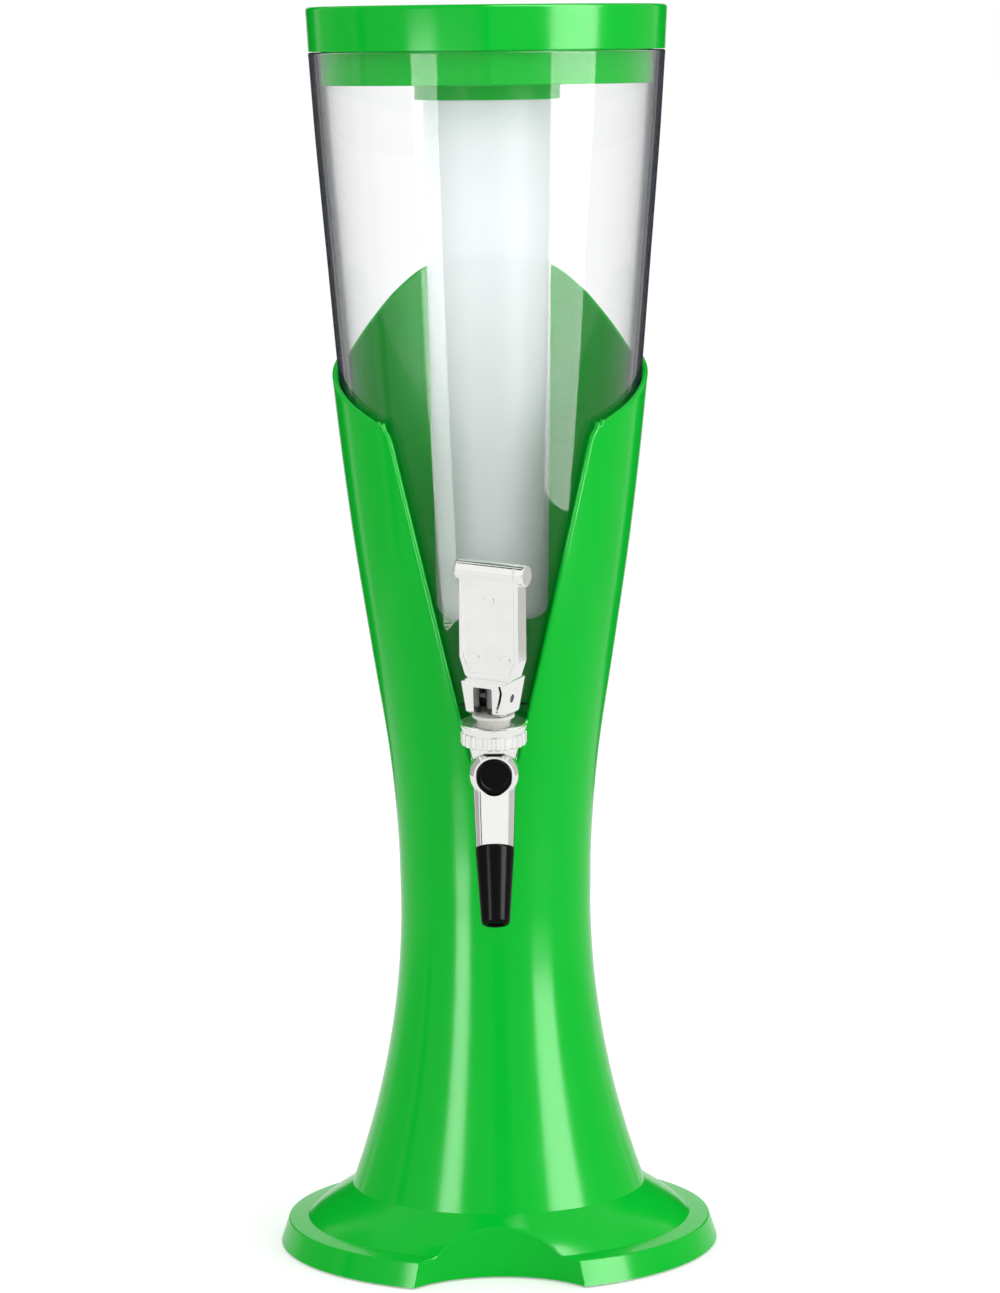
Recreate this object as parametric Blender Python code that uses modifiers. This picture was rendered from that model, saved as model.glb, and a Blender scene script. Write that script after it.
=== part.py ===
"""Beer tower dispenser: a base that holds a clear tank, a lid with an ice tube, and a lever tap.

Lengths are in metres and Z is up. The tap looks along -Y. The origin is on the table, under the middle of
the base.
"""

import math

import bmesh
import bpy
from mathutils import Matrix, Vector

MM = 0.001
DEGREE = math.pi / 180

# Clearances and overruns
TOUCH_GAP = 0.3 * MM
TANK_CLEARANCE = 0.5 * MM
CUT_OVERRUN = 12 * MM
OVERLAP = 2 * MM
WELD_DISTANCE = 0.001 * MM
SHARP_ANGLE = 35 * DEGREE

# Facets of round pieces
ROUND_SIDES = 48
TUBE_SIDES = 32
SMALL_SIDES = 20
PIN_SIDES = 16
SKIN_ROWS = 10
LOWER_ROWS = 5

# Base, from the floor up
FOOT_STAND_OFF = 0.8 * MM
FOOT_RADIUS = 101.4 * MM
FOOT_DRAFT = 3.4 * MM
FOOT_RIM_HEIGHT = 11.8 * MM
FOOT_BAND_WIDTH = 9.2 * MM
FOOT_BAND_RISE = 0.7 * MM
FOOT_FLARE_RISE = 15.3 * MM
CREASE_RADIUS = 67.8 * MM
WAIST_RADIUS = 43.8 * MM
WAIST_HEIGHT = 160 * MM
BASE_WALL = 2.4 * MM
FOOT_RIM_RADIUS = FOOT_RADIUS - FOOT_DRAFT
FOOT_BAND_RADIUS = FOOT_RIM_RADIUS - FOOT_BAND_WIDTH
CREASE_HEIGHT = FOOT_RIM_HEIGHT + FOOT_BAND_RISE + FOOT_FLARE_RISE

# How the foot rises from its flat band in to the crease: share of the way in, share of the way up
FOOT_RISE_SHARES = ((0.22, 0.27), (0.56, 0.61))

# How the outer skin widens from the waist up to the tank's rim: share of the height, share of the widening
UPPER_FLARE_SHARES = (
    (0.0, 0.0),
    (0.08, 0.02),
    (0.18, 0.11),
    (0.30, 0.293),
    (0.44, 0.498),
    (0.60, 0.683),
    (0.77, 0.827),
    (0.90, 0.932),
    (1.0, 1.0),
)

# Rim of the base: a V in front with round shoulders, and from there one long rise to the back
V_RADIUS = 10.9 * MM
SHOULDER_HALF_WIDTH = 46.0 * MM
SHOULDER_HEIGHT = 381.8 * MM
SHOULDER_RADIUS = 14 * MM
SHOULDER_RISE_ANGLE = 31 * DEGREE
SHOULDER_RUN = 9 * MM
BACK_RIM_HEIGHT = 454 * MM
RIM_CUTTER_RADIUS = 30 * MM

# The rise behind the shoulders: share of the half turn from front to back, share of the height
RIM_RISE_SHARES = (
    (0.0, 0.0),
    (0.215, 0.01),
    (0.278, 0.068),
    (0.339, 0.13),
    (0.417, 0.222),
    (0.5, 0.318),
    (0.583, 0.405),
    (0.65, 0.49),
    (0.722, 0.628),
    (0.794, 0.796),
    (0.867, 0.94),
    (0.933, 0.99),
    (1.0, 1.0),
)

# Notch for a glass in the front of the foot
NOTCH_RADIUS = 48 * MM
NOTCH_DEEPEST = 75 * MM

# Rubber feet
PAD_COUNT = 4
PAD_RADIUS = 6.5 * MM
PAD_THICKNESS = 2.5 * MM
PAD_PEG_RADIUS = 2.5 * MM
PAD_PEG_LENGTH = 3.5 * MM
PAD_INSET = 11.4 * MM
PAD_FIRST_ANGLE = 45 * DEGREE
BOSS_MARGIN = 1.2 * MM

# Tank
RIM_OUTER_RADIUS = 80.8 * MM
RIM_HEIGHT = 549.6 * MM
TANK_WALL = 3.0 * MM
TANK_FLOOR = 3.0 * MM
TANK_BOTTOM_HEIGHT = 214.5 * MM
TANK_BOTTOM_CORNER = 3.0 * MM
LEDGE_WIDTH = 7.0 * MM
LEDGE_THICKNESS = 2.4 * MM

# Keel down the front of the lid and the top of the tank: two flats that meet in a ridge
KEEL_HALF_ANGLE = 15 * DEGREE
KEEL_LENGTH = 78 * MM

# Lid
LID_BAND_HEIGHT = 20.1 * MM
LID_FLARE = 1.1 * MM
LID_WALL = 2.2 * MM
LID_PLATE = 2.5 * MM
LID_DISH_MARGIN = 13.9 * MM
LID_DISH_DEPTH = 1.5 * MM
LID_EDGE_ROUND = 1.6 * MM
SKIRT_CLEARANCE = 2.6 * MM
SKIRT_DEPTH = 14.7 * MM
LID_TOP_RADIUS = RIM_OUTER_RADIUS + LID_FLARE
LID_TOP_HEIGHT = RIM_HEIGHT + TOUCH_GAP + LID_BAND_HEIGHT
SKIRT_RADIUS = RIM_OUTER_RADIUS - TANK_WALL - SKIRT_CLEARANCE
SKIRT_BOTTOM_HEIGHT = RIM_HEIGHT - SKIRT_DEPTH

# Ice tube
TUBE_TOP_RADIUS = 29.6 * MM
TUBE_BOTTOM_RADIUS = 25.4 * MM
TUBE_LENGTH = 241 * MM
TUBE_WALL = 2.0 * MM
TUBE_CORNER = 7 * MM
LUG_COUNT = 3
LUG_HALF_ANGLE = 11 * DEGREE
LUG_FIRST_ANGLE = 30 * DEGREE
LUG_THICKNESS = 2.4 * MM
LUG_NOTCH_MARGIN = 3 * DEGREE
TWIST_TO_RELEASE = 34 * DEGREE

# Socket under the lid, where the ice tube's lugs turn in a groove
SOCKET_DROP = 7.0 * MM
SOCKET_WALL = 1.1 * MM
SOCKET_LEDGE = 2.4 * MM
SOCKET_GROOVE = 3.4 * MM
SOCKET_GROOVE_DEPTH = 2.0 * MM
LEDGE_RADIUS = TUBE_TOP_RADIUS + 2 * TOUCH_GAP
GROOVE_RADIUS = LEDGE_RADIUS + SOCKET_GROOVE_DEPTH
SOCKET_RADIUS = GROOVE_RADIUS + SOCKET_WALL
SOCKET_BOTTOM_HEIGHT = SKIRT_BOTTOM_HEIGHT - SOCKET_DROP
GROOVE_BOTTOM = SOCKET_BOTTOM_HEIGHT + SOCKET_LEDGE
GROOVE_TOP = GROOVE_BOTTOM + SOCKET_GROOVE
TUBE_TOP_HEIGHT = GROOVE_BOTTOM + TOUCH_GAP + LUG_THICKNESS
TUBE_BOTTOM_HEIGHT = TUBE_TOP_HEIGHT - TUBE_LENGTH

# Tap body, about its stem axis (up) and its shank axis (back into the tank)
SHANK_ABOVE_BOTTOM = 20 * MM
TAP_TILT = 7 * DEGREE
STEM_TO_WALL = 22.4 * MM
BARREL_TOP = 13.2 * MM
BARREL_TOP_RADIUS = 12.2 * MM
BARREL_RADIUS = 9.9 * MM
SPOUT_ANGLE = 31 * DEGREE
SPOUT_LENGTH = 36.8 * MM
SPOUT_END_RADIUS = 8.65 * MM
SPIGOT_RADIUS = 5.6 * MM
SPIGOT_LENGTH = 9 * MM
OUTLET_RADIUS = 4.0 * MM
NECK_LENGTH = 4.8 * MM
NECK_RADIUS = 11 * MM
CHAMBER_RADIUS = 7.5 * MM
SEAT_DEPTH = 5.3 * MM
FLANGE_RADIUS = 10.3 * MM
FLANGE_THICKNESS = 2.6 * MM
SHANK_RADIUS = 6.5 * MM
SHANK_PROUD = 4.0 * MM
SHANK_BORE_RADIUS = 4.2 * MM
BOSS_RADIUS = 10.8 * MM
BOSS_FACE = 13.6 * MM
BOSS_EDGE_ROUND = 0.8 * MM
PLUG_RADIUS = 8.6 * MM
PLUG_POCKET_DEPTH = 3.6 * MM
PLUG_PROUD = 0.5 * MM
PLUG_RIM = 2.3 * MM
PLUG_DISH_DEPTH = 0.5 * MM
NECK_TOP = BARREL_TOP + NECK_LENGTH

# Nozzle
NOZZLE_LENGTH = 35 * MM
NOZZLE_TIP_RADIUS = 6.3 * MM
NOZZLE_TIP_ROUND = 1.8 * MM

# Seat of the tap on the tank
KEY_PROUD = 2.0 * MM
KEY_V_CLEARANCE = 1.0 * MM
KEY_RISE = 24 * MM
INNER_BOSS_RADIUS = 13 * MM
INNER_BOSS_PROUD = 2.2 * MM
WASHER_THICKNESS = 1.6 * MM
OUTER_WASHER_RADIUS = 9.8 * MM
INNER_WASHER_RADIUS = 11 * MM
LOCK_NUT_RADIUS = 11.5 * MM
LOCK_NUT_THICKNESS = 5.2 * MM
KEY_FACE = STEM_TO_WALL - KEY_PROUD
INNER_BOSS_FACE = STEM_TO_WALL + TANK_WALL + INNER_BOSS_PROUD
LOCK_NUT_FACE = INNER_BOSS_FACE + 2 * TOUCH_GAP + WASHER_THICKNESS
SHANK_END = LOCK_NUT_FACE + LOCK_NUT_THICKNESS + SHANK_PROUD

# Collar nut, bonnet and seal
COLLAR_RADIUS = 15.5 * MM
COLLAR_LIP = 1.7 * MM
COLLAR_RIBS = 24
COLLAR_RIB_DEPTH = 0.7 * MM
BONNET_FLANGE_THICKNESS = 1.7 * MM
BONNET_HUB_RADIUS = 7.5 * MM
BONNET_PROUD = 2.0 * MM
BONNET_NECK_LENGTH = 8.0 * MM
RING_WIRE_RADIUS = 0.8 * MM
RING_GROOVE_INSET = 1.4 * MM
RING_GROOVE_DEPTH = 1.9 * MM
COLLAR_TOP = NECK_TOP + 2 * TOUCH_GAP + BONNET_FLANGE_THICKNESS + COLLAR_LIP
BONNET_TOP = COLLAR_TOP + BONNET_PROUD
BONNET_NECK_BOTTOM = NECK_TOP - BONNET_NECK_LENGTH

# Outline of one rib of the collar nut: share of the rib's turn, share of the rib's depth cut away
COLLAR_RIB_SHARES = ((0.0, 0.0), (0.5, 0.0), (0.62, 1.0), (0.88, 1.0))

# Stem, seat, spring and saddle washer
STEM_RADIUS = 2.5 * MM
STEM_FLANGE_RADIUS = 5.2 * MM
STEM_FLANGE_THICKNESS = 1.2 * MM
STEM_HEAD_RADIUS = 3.6 * MM
STEM_HEAD_BELOW_PIN = 4.9 * MM
STEM_HEAD_ABOVE_PIN = 3.9 * MM
STEM_TIP_RADIUS = 1.8 * MM
STEM_TIP_LENGTH = 2.2 * MM
SEAT_RADIUS = 5.6 * MM
SEAT_THICKNESS = 3.6 * MM
SPRING_WIRE_RADIUS = 0.45 * MM
SPRING_RADIUS = 3.9 * MM
SPRING_TURNS = 5
SPRING_POINTS_PER_TURN = 10
SADDLE_RADIUS = 9.5 * MM
SADDLE_THICKNESS = 1.3 * MM
SEAT_TOP = SEAT_THICKNESS + TOUCH_GAP - SEAT_DEPTH
SADDLE_TOP = BONNET_TOP + TOUCH_GAP + SADDLE_THICKNESS

# Lever, about its pin
LEVER_YAW = -28 * DEGREE
LEVER_SWING = 40 * DEGREE
STEM_LIFT = 3.0 * MM
CAM_REACH = 7.6 * MM
PIN_RADIUS = 1.6 * MM
PIN_LENGTH = 18 * MM
FOOT_ABOVE_PIN = 8.5 * MM
FOOT_TOP_WIDTH = 21.5 * MM
FOOT_BOTTOM_WIDTH = 15.8 * MM
FOOT_TOP_DEPTH = 21 * MM
FOOT_BOTTOM_DEPTH = 18 * MM
BLADE_LENGTH = 48 * MM
BLADE_WIDTH = 29.5 * MM
BLADE_NECK_WIDTH = 24 * MM
BLADE_NECK_RISE = 9 * MM
BLADE_NECK_EDGE = 0.8 * MM  # how far the neck's lower edge slants up from the foot
BLADE_THICKNESS = 8.6 * MM
BLADE_FRAME = 2.2 * MM
BLADE_PANEL_DEPTH = 0.9 * MM
T_BAR_RADIUS = 5.0 * MM
T_BAR_LENGTH = 35 * MM
FORK_WIDTH = 9.0 * MM
FORK_ABOVE_PIN = 5.9 * MM
FORK_BACK = 6.0 * MM
PIN_HEIGHT = SADDLE_TOP + TOUCH_GAP + CAM_REACH
FOOT_TOP = PIN_HEIGHT + FOOT_ABOVE_PIN
T_BAR_HEIGHT = FOOT_TOP + BLADE_LENGTH

COLLECTION_NAME = "beer_tower"
CUTTER_COLLECTION_NAME = "cutters"


def clear_scene():
    """Remove every object, so that the script can be run again."""
    for item in list(bpy.data.objects):
        bpy.data.objects.remove(item)
    for name in (COLLECTION_NAME, CUTTER_COLLECTION_NAME):
        found = bpy.data.collections.get(name)
        if found:
            bpy.data.collections.remove(found)
        bpy.context.scene.collection.children.link(bpy.data.collections.new(name))


def material(name, colour, roughness, metallic=0.0, transmission=0.0):
    """One plain finish, made once and then shared."""
    found = bpy.data.materials.get(name)
    if found:
        return found
    made = bpy.data.materials.new(name)
    made.use_nodes = True
    shader = made.node_tree.nodes["Principled BSDF"]
    shader.inputs["Base Color"].default_value = (*colour, 1.0)
    shader.inputs["Roughness"].default_value = roughness
    shader.inputs["Metallic"].default_value = metallic
    shader.inputs["Transmission Weight"].default_value = transmission
    return made


def green_plastic():
    return material("green_plastic", (0.0, 0.52, 0.03), 0.25)


def clear_plastic():
    return material("clear_plastic", (0.95, 0.97, 1.0), 0.05, transmission=0.9)


def frosted_plastic():
    return material("frosted_plastic", (0.85, 0.9, 0.92), 0.5, transmission=0.5)


def chrome():
    return material("chrome", (0.9, 0.9, 0.9), 0.08, metallic=1.0)


def black_plastic():
    return material("black_plastic", (0.012, 0.012, 0.012), 0.3)


def black_rubber():
    return material("black_rubber", (0.02, 0.02, 0.02), 0.8)


def white_nylon():
    return material("white_nylon", (0.8, 0.8, 0.78), 0.45)


def silicone():
    return material("silicone", (0.75, 0.78, 0.78), 0.6)


def link(item, is_cutter=False):
    """Put an object in the tower's collection, or in the cutters' where it only shapes others."""
    name = CUTTER_COLLECTION_NAME if is_cutter else COLLECTION_NAME
    bpy.data.collections[name].objects.link(item)
    if is_cutter:
        item.hide_render = True
        item.display_type = "WIRE"
    return item


def new_piece(name, mesh, finish):
    """Make one named sub-part from a finished mesh."""
    mesh.name = name
    mesh.materials.clear()
    mesh.materials.append(finish)
    mesh.shade_smooth()
    mesh.set_sharp_from_angle(angle=SHARP_ANGLE)
    return link(bpy.data.objects.new(name, mesh))


def evaluated_mesh(item):
    """The object's mesh with its modifiers applied, in world space. The object itself is removed."""
    bpy.context.view_layer.update()
    graph = bpy.context.evaluated_depsgraph_get()
    mesh = bpy.data.meshes.new_from_object(item.evaluated_get(graph))
    mesh.transform(item.matrix_world)
    bpy.data.objects.remove(item)
    work = bmesh.new()
    work.from_mesh(mesh)
    bmesh.ops.remove_doubles(work, verts=work.verts, dist=WELD_DISTANCE)
    bmesh.ops.recalc_face_normals(work, faces=work.faces)
    work.to_mesh(mesh)
    work.free()
    return mesh


def turned(outline, sides=ROUND_SIDES):
    """Turn an outline of (radius, height) points about Z, solid where it starts and ends on the axis."""
    on_axis = outline[0][0] == 0 and outline[-1][0] == 0
    count = len(outline)
    edges = [(i, i + 1) for i in range(count - 1)]
    if not on_axis:
        edges.append((count - 1, 0))
    mesh = bpy.data.meshes.new("outline")
    # The outline starts at -Y, so that one corner of the turned shape lies in front
    mesh.from_pydata([(0, -radius, height) for radius, height in outline], edges, [])
    item = link(bpy.data.objects.new("outline", mesh), is_cutter=True)
    screw = item.modifiers.new("turn", "SCREW")
    screw.steps = sides
    screw.render_steps = sides
    screw.use_merge_vertices = True
    screw.merge_threshold = WELD_DISTANCE
    return evaluated_mesh(item)


def extruded(outline, thickness, at=Matrix.Identity(4)):
    """A flat outline of (x, y) points, thickened evenly to both sides of its plane."""
    curve = bpy.data.curves.new("outline", "CURVE")
    curve.dimensions = "2D"
    curve.fill_mode = "BOTH"
    curve.extrude = thickness / 2
    spline = curve.splines.new("POLY")
    spline.points.add(len(outline) - 1)
    for point, (x, y) in zip(spline.points, outline):
        point.co = (x, y, 0, 1)
    spline.use_cyclic_u = True
    item = link(bpy.data.objects.new("outline", curve), is_cutter=True)
    item.matrix_world = at
    return evaluated_mesh(item)


def tube(points, radii, sides=SMALL_SIDES):
    """A capped tube through the points, with its own radius at each of them."""
    curve = bpy.data.curves.new("tube", "CURVE")
    curve.dimensions = "3D"
    curve.bevel_depth = 1.0
    curve.bevel_resolution = sides // 2 - 2
    curve.use_fill_caps = True
    spline = curve.splines.new("POLY")
    spline.points.add(len(points) - 1)
    for place, where, radius in zip(spline.points, points, radii):
        place.co = (*where, 1)
        place.radius = radius
    return evaluated_mesh(link(bpy.data.objects.new("tube", curve), is_cutter=True))


def cylinder(radius, low, high, sides=SMALL_SIDES, at=Matrix.Identity(4)):
    """A cylinder along the Z axis of a frame, from low to high."""
    mesh = bpy.data.meshes.new("cylinder")
    work = bmesh.new()
    middle = Matrix.Translation((0, 0, (low + high) / 2))
    bmesh.ops.create_cone(
        work,
        cap_ends=True,
        segments=sides,
        radius1=radius,
        radius2=radius,
        depth=high - low,
        matrix=at @ middle,
    )
    work.to_mesh(mesh)
    work.free()
    return mesh


def combined(mesh, others, operation):
    """Boolean a mesh with others, one after another."""
    for other in others:
        item = link(bpy.data.objects.new("work", mesh), is_cutter=True)
        cutter = link(bpy.data.objects.new("cutter", other), is_cutter=True)
        step = item.modifiers.new("step", "BOOLEAN")
        step.operation = operation
        step.solver = "EXACT"
        step.object = cutter
        mesh = evaluated_mesh(item)
        bpy.data.objects.remove(cutter)
    return mesh


def cut(base, *others):
    return combined(base, others, "DIFFERENCE")


def joined(base, *others):
    return combined(base, others, "UNION")


def kept(base, *others):
    return combined(base, others, "INTERSECT")


def smooth_value(shares, at):
    """Read a smooth curve through share points (Catmull-Rom in the first share)."""
    keys = [key for key, _ in shares]
    values = [value for _, value in shares]
    last = len(keys) - 1
    slopes = []
    for i in range(last + 1):
        before, after = max(i - 1, 0), min(i + 1, last)
        slopes.append((values[after] - values[before]) / (keys[after] - keys[before]))
    for i in range(last):
        if at <= keys[i + 1] or i == last - 1:
            span = keys[i + 1] - keys[i]
            t = (at - keys[i]) / span
            start = (2 * t**3 - 3 * t**2 + 1) * values[i] + (t**3 - 2 * t**2 + t) * span * slopes[i]
            end = (3 * t**2 - 2 * t**3) * values[i + 1] + (t**3 - t**2) * span * slopes[i + 1]
            return start + end


def even_steps(low, high, count):
    """Evenly spaced values from low to high, with both ends."""
    return [low + (high - low) * i / count for i in range(count + 1)]


def arc_points(centre, radius, start, end, count):
    """Points (x, y) on an arc between two angles."""
    x, y = centre
    return [(x + radius * math.cos(a), y + radius * math.sin(a)) for a in even_steps(start, end, count)]


def outer_radius(height):
    """Outer skin of the base at a height above its crease. Above the rim it is where that skin would be."""
    if height < WAIST_HEIGHT:
        share = (WAIST_HEIGHT - height) / (WAIST_HEIGHT - CREASE_HEIGHT)
        return WAIST_RADIUS + (CREASE_RADIUS - WAIST_RADIUS) * share**2
    top = RIM_OUTER_RADIUS + TANK_CLEARANCE + BASE_WALL
    share = (height - WAIST_HEIGHT) / (RIM_HEIGHT - WAIST_HEIGHT)
    return WAIST_RADIUS + (top - WAIST_RADIUS) * smooth_value(UPPER_FLARE_SHARES, share)


def tank_radius(height):
    """Outside of the tank, which follows the inside of the base."""
    return outer_radius(height) - BASE_WALL - TANK_CLEARANCE


def keel_share(height):
    """How far the keel stands out: 0 where it starts on the tank, 1 from the tank's rim up."""
    return min(max(1 - (RIM_HEIGHT - height) / KEEL_LENGTH, 0), 1)


def raise_keel(mesh, least_radius=0):
    """Draw the front of a turned mesh out to the two flats of the keel."""
    for vertex in mesh.vertices:
        x, y, z = vertex.co
        angle = abs(math.atan2(x, -y))
        if angle < KEEL_HALF_ANGLE and math.hypot(x, y) > least_radius:
            grown = 1 / math.cos(KEEL_HALF_ANGLE - angle)
            factor = 1 + (grown - 1) * keel_share(z)
            vertex.co.x *= factor
            vertex.co.y *= factor
    return mesh


# Frames of the tap: its stem axis is up and its shank runs back into the tank

SHANK_WALL_HEIGHT = TANK_BOTTOM_HEIGHT + SHANK_ABOVE_BOTTOM
WALL_AT_SHANK = tank_radius(SHANK_WALL_HEIGHT)
TAP_ORIGIN = Vector(
    (
        0,
        -WALL_AT_SHANK - STEM_TO_WALL * math.cos(TAP_TILT),
        SHANK_WALL_HEIGHT - STEM_TO_WALL * math.sin(TAP_TILT),
    )
)
TAP_FRAME = Matrix.Translation(TAP_ORIGIN) @ Matrix.Rotation(TAP_TILT, 4, "X")
SHANK_FRAME = TAP_FRAME @ Matrix.Rotation(-math.pi / 2, 4, "X")
BOSS_FRAME = SHANK_FRAME @ Matrix.Rotation(math.pi, 4, "X")
SPOUT_FRAME = TAP_FRAME @ Matrix.Rotation(math.pi - SPOUT_ANGLE, 4, "X")
LEVER_FRAME = TAP_FRAME @ Matrix.Rotation(LEVER_YAW, 4, "Z")
PIN_IN_LEVER = Matrix.Translation((0, 0, PIN_HEIGHT)) @ Matrix.Rotation(math.pi / 2, 4, "Y")
PIN_FRAME = LEVER_FRAME @ PIN_IN_LEVER
# Outlines drawn in these views get exactly upright axes, which a turn by an angle would round.
SIDE_VIEW = Matrix(((0, 0, 1, 0), (1, 0, 0, 0), (0, 1, 0, 0), (0, 0, 0, 1)))
FRONT_VIEW = Matrix(((1, 0, 0, 0), (0, 0, -1, 0), (0, 1, 0, 0), (0, 0, 0, 1)))


def moved(mesh, frame):
    """Place a mesh that was made about its own axis."""
    mesh.transform(frame)
    return mesh


def foot_outline():
    """Top of the foot as (radius, height) points, from the crease out and down to the rim."""
    width = FOOT_BAND_RADIUS - CREASE_RADIUS
    low = FOOT_RIM_HEIGHT + FOOT_BAND_RISE
    flare = [(FOOT_BAND_RADIUS - width * way, low + FOOT_FLARE_RISE * up) for way, up in FOOT_RISE_SHARES]
    return flare[::-1] + [(FOOT_BAND_RADIUS, low), (FOOT_RIM_RADIUS, FOOT_RIM_HEIGHT)]


def base_outline():
    """Outside of the base as (radius, height) points, from the height of the tank's rim down to the floor."""
    upper = [(outer_radius(z), z) for z in even_steps(RIM_HEIGHT, WAIST_HEIGHT, SKIN_ROWS)]
    lower = [(outer_radius(z), z) for z in even_steps(WAIST_HEIGHT, CREASE_HEIGHT, LOWER_ROWS)][1:]
    return upper + lower + foot_outline() + [(FOOT_RADIUS, FOOT_STAND_OFF)]


def inset(outline, wall):
    """Move an outline that runs down its outer side inwards by one wall, with mitred corners."""
    points = [Vector(point) for point in outline]
    normals = []
    for here, following in zip(points, points[1:]):
        run = (following - here).normalized()
        normals.append(Vector((run.y, -run.x)))
    moved_points = [points[0] + normals[0] * wall]
    for point, before, after in zip(points[1:-1], normals, normals[1:]):
        moved_points.append(point + (before + after) * wall / (1 + before.dot(after)))
    moved_points.append(points[-1] + normals[-1] * wall)
    return [tuple(point) for point in moved_points]


def base_outer():
    """The base as a filled solid, up past its rim."""
    outline = base_outline()
    return turned([(0, outline[0][1])] + outline + [(0, FOOT_STAND_OFF)])


def base_hollow():
    """The space inside the base: the tank's seat above the ledge, and the open underside below it."""
    top = RIM_HEIGHT + CUT_OVERRUN
    seat = TANK_BOTTOM_HEIGHT - TOUCH_GAP
    under = seat - LEDGE_THICKNESS
    wall_line = inset(base_outline(), BASE_WALL)
    above = [(radius, z) for radius, z in wall_line if z > seat + LEDGE_THICKNESS]
    below = [(radius, z) for radius, z in wall_line if z < under - LEDGE_THICKNESS]
    ledge_radius = outer_radius(seat) - BASE_WALL - LEDGE_WIDTH
    outline = [(0, top), (above[0][0], top)] + above + [(outer_radius(seat) - BASE_WALL, seat)]
    outline += [(ledge_radius, seat), (ledge_radius, under), (outer_radius(under) - BASE_WALL, under)]
    outline += below + [(FOOT_RADIUS - BASE_WALL, -CUT_OVERRUN), (0, -CUT_OVERRUN)]
    return turned(outline)


def notch_cutter(radius):
    """A round post that cuts the glass notch out of the foot."""
    at = Matrix.Translation((0, -NOTCH_DEEPEST - NOTCH_RADIUS, 0))
    return cylinder(radius, -2 * CUT_OVERRUN, CREASE_HEIGHT + CUT_OVERRUN, ROUND_SIDES, at)


def v_lean():
    """How far the V's flanks lean out from upright, so that they meet its round bottom without a kink."""
    rise = SHOULDER_HEIGHT - SHANK_WALL_HEIGHT
    reach = math.hypot(SHOULDER_HALF_WIDTH, rise)
    return math.atan2(SHOULDER_HALF_WIDTH, rise) - math.asin(V_RADIUS / reach)


def v_half_width(height):
    """Half width of the V on its straight flanks."""
    return SHOULDER_HALF_WIDTH - math.tan(v_lean()) * (SHOULDER_HEIGHT - height)


def v_outline():
    """Right half of the V from its bottom to past its round shoulder, as (x, height) points."""
    lean = v_lean()
    bottom = arc_points((0, SHANK_WALL_HEIGHT), V_RADIUS, -math.pi / 2, -lean, 6)
    turn = math.pi / 2 - lean - SHOULDER_RISE_ANGLE
    back_off = SHOULDER_RADIUS * math.tan(turn / 2)
    flank = Vector((math.sin(lean), math.cos(lean)))
    rise = Vector((math.cos(SHOULDER_RISE_ANGLE), math.sin(SHOULDER_RISE_ANGLE)))
    corner = Vector((SHOULDER_HALF_WIDTH, SHOULDER_HEIGHT))
    centre = corner - flank * back_off + Vector((flank.y, -flank.x)) * SHOULDER_RADIUS
    shoulder = arc_points(centre, SHOULDER_RADIUS, math.pi - lean, math.pi / 2 + SHOULDER_RISE_ANGLE, 5)
    return bottom + shoulder + [tuple(corner + rise * SHOULDER_RUN)]


def v_cutter():
    """Everything inside the V, from the tower's middle forwards and up."""
    right = v_outline()
    right += [(right[-1][0], RIM_HEIGHT + 2 * CUT_OVERRUN)]
    left = [(-x, z) for x, z in reversed(right) if x > 0]
    depth = FOOT_RADIUS + CUT_OVERRUN
    return extruded(right + left, depth, Matrix.Translation((0, -depth / 2, 0)) @ FRONT_VIEW)


def rim_height(turn):
    """Height of the rim behind the shoulders, at a share of the half turn from front to back."""
    return SHOULDER_HEIGHT + (BACK_RIM_HEIGHT - SHOULDER_HEIGHT) * smooth_value(RIM_RISE_SHARES, turn)


def rim_cutter():
    """Everything above the rim, all the way round."""
    top = RIM_HEIGHT + 2 * CUT_OVERRUN
    outline = [(0, top), (FOOT_RADIUS, top), (FOOT_RADIUS, SHOULDER_HEIGHT)]
    outline += [(RIM_CUTTER_RADIUS, SHOULDER_HEIGHT), (0, SHOULDER_HEIGHT)]
    mesh = turned(outline)
    for vertex in mesh.vertices:
        x, y, z = vertex.co
        if z < RIM_HEIGHT and math.hypot(x, y) > WELD_DISTANCE:
            vertex.co.z = rim_height(abs(math.atan2(x, -y)) / math.pi)
    work = bmesh.new()
    work.from_mesh(mesh)
    bmesh.ops.triangulate(work, faces=work.faces)
    work.to_mesh(mesh)
    work.free()
    return mesh


def pad_places():
    """Frames of the rubber feet, on the floor."""
    reach = FOOT_RADIUS - PAD_INSET
    angles = [PAD_FIRST_ANGLE + 2 * math.pi * i / PAD_COUNT for i in range(PAD_COUNT)]
    return [Matrix.Translation((reach * math.cos(a), reach * math.sin(a), 0)) for a in angles]


def make_base():
    """The green holster, with the ledge that carries the tank and the bosses over the rubber feet."""
    boss_radius = PAD_RADIUS + BOSS_MARGIN
    boss_bottom = PAD_THICKNESS + TOUCH_GAP
    bosses = [cylinder(boss_radius, boss_bottom, CREASE_HEIGHT, at=at) for at in pad_places()]
    hole_radius = PAD_PEG_RADIUS + TOUCH_GAP
    hole_top = PAD_THICKNESS + PAD_PEG_LENGTH + TOUCH_GAP
    peg_holes = [cylinder(hole_radius, 0, hole_top, at=at) for at in pad_places()]
    hollow = cut(base_hollow(), notch_cutter(NOTCH_RADIUS + BASE_WALL), *bosses)
    solid = cut(base_outer(), notch_cutter(NOTCH_RADIUS))
    mesh = cut(solid, hollow, v_cutter(), rim_cutter(), *peg_holes)
    new_piece("base_shell", mesh, green_plastic())


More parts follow.
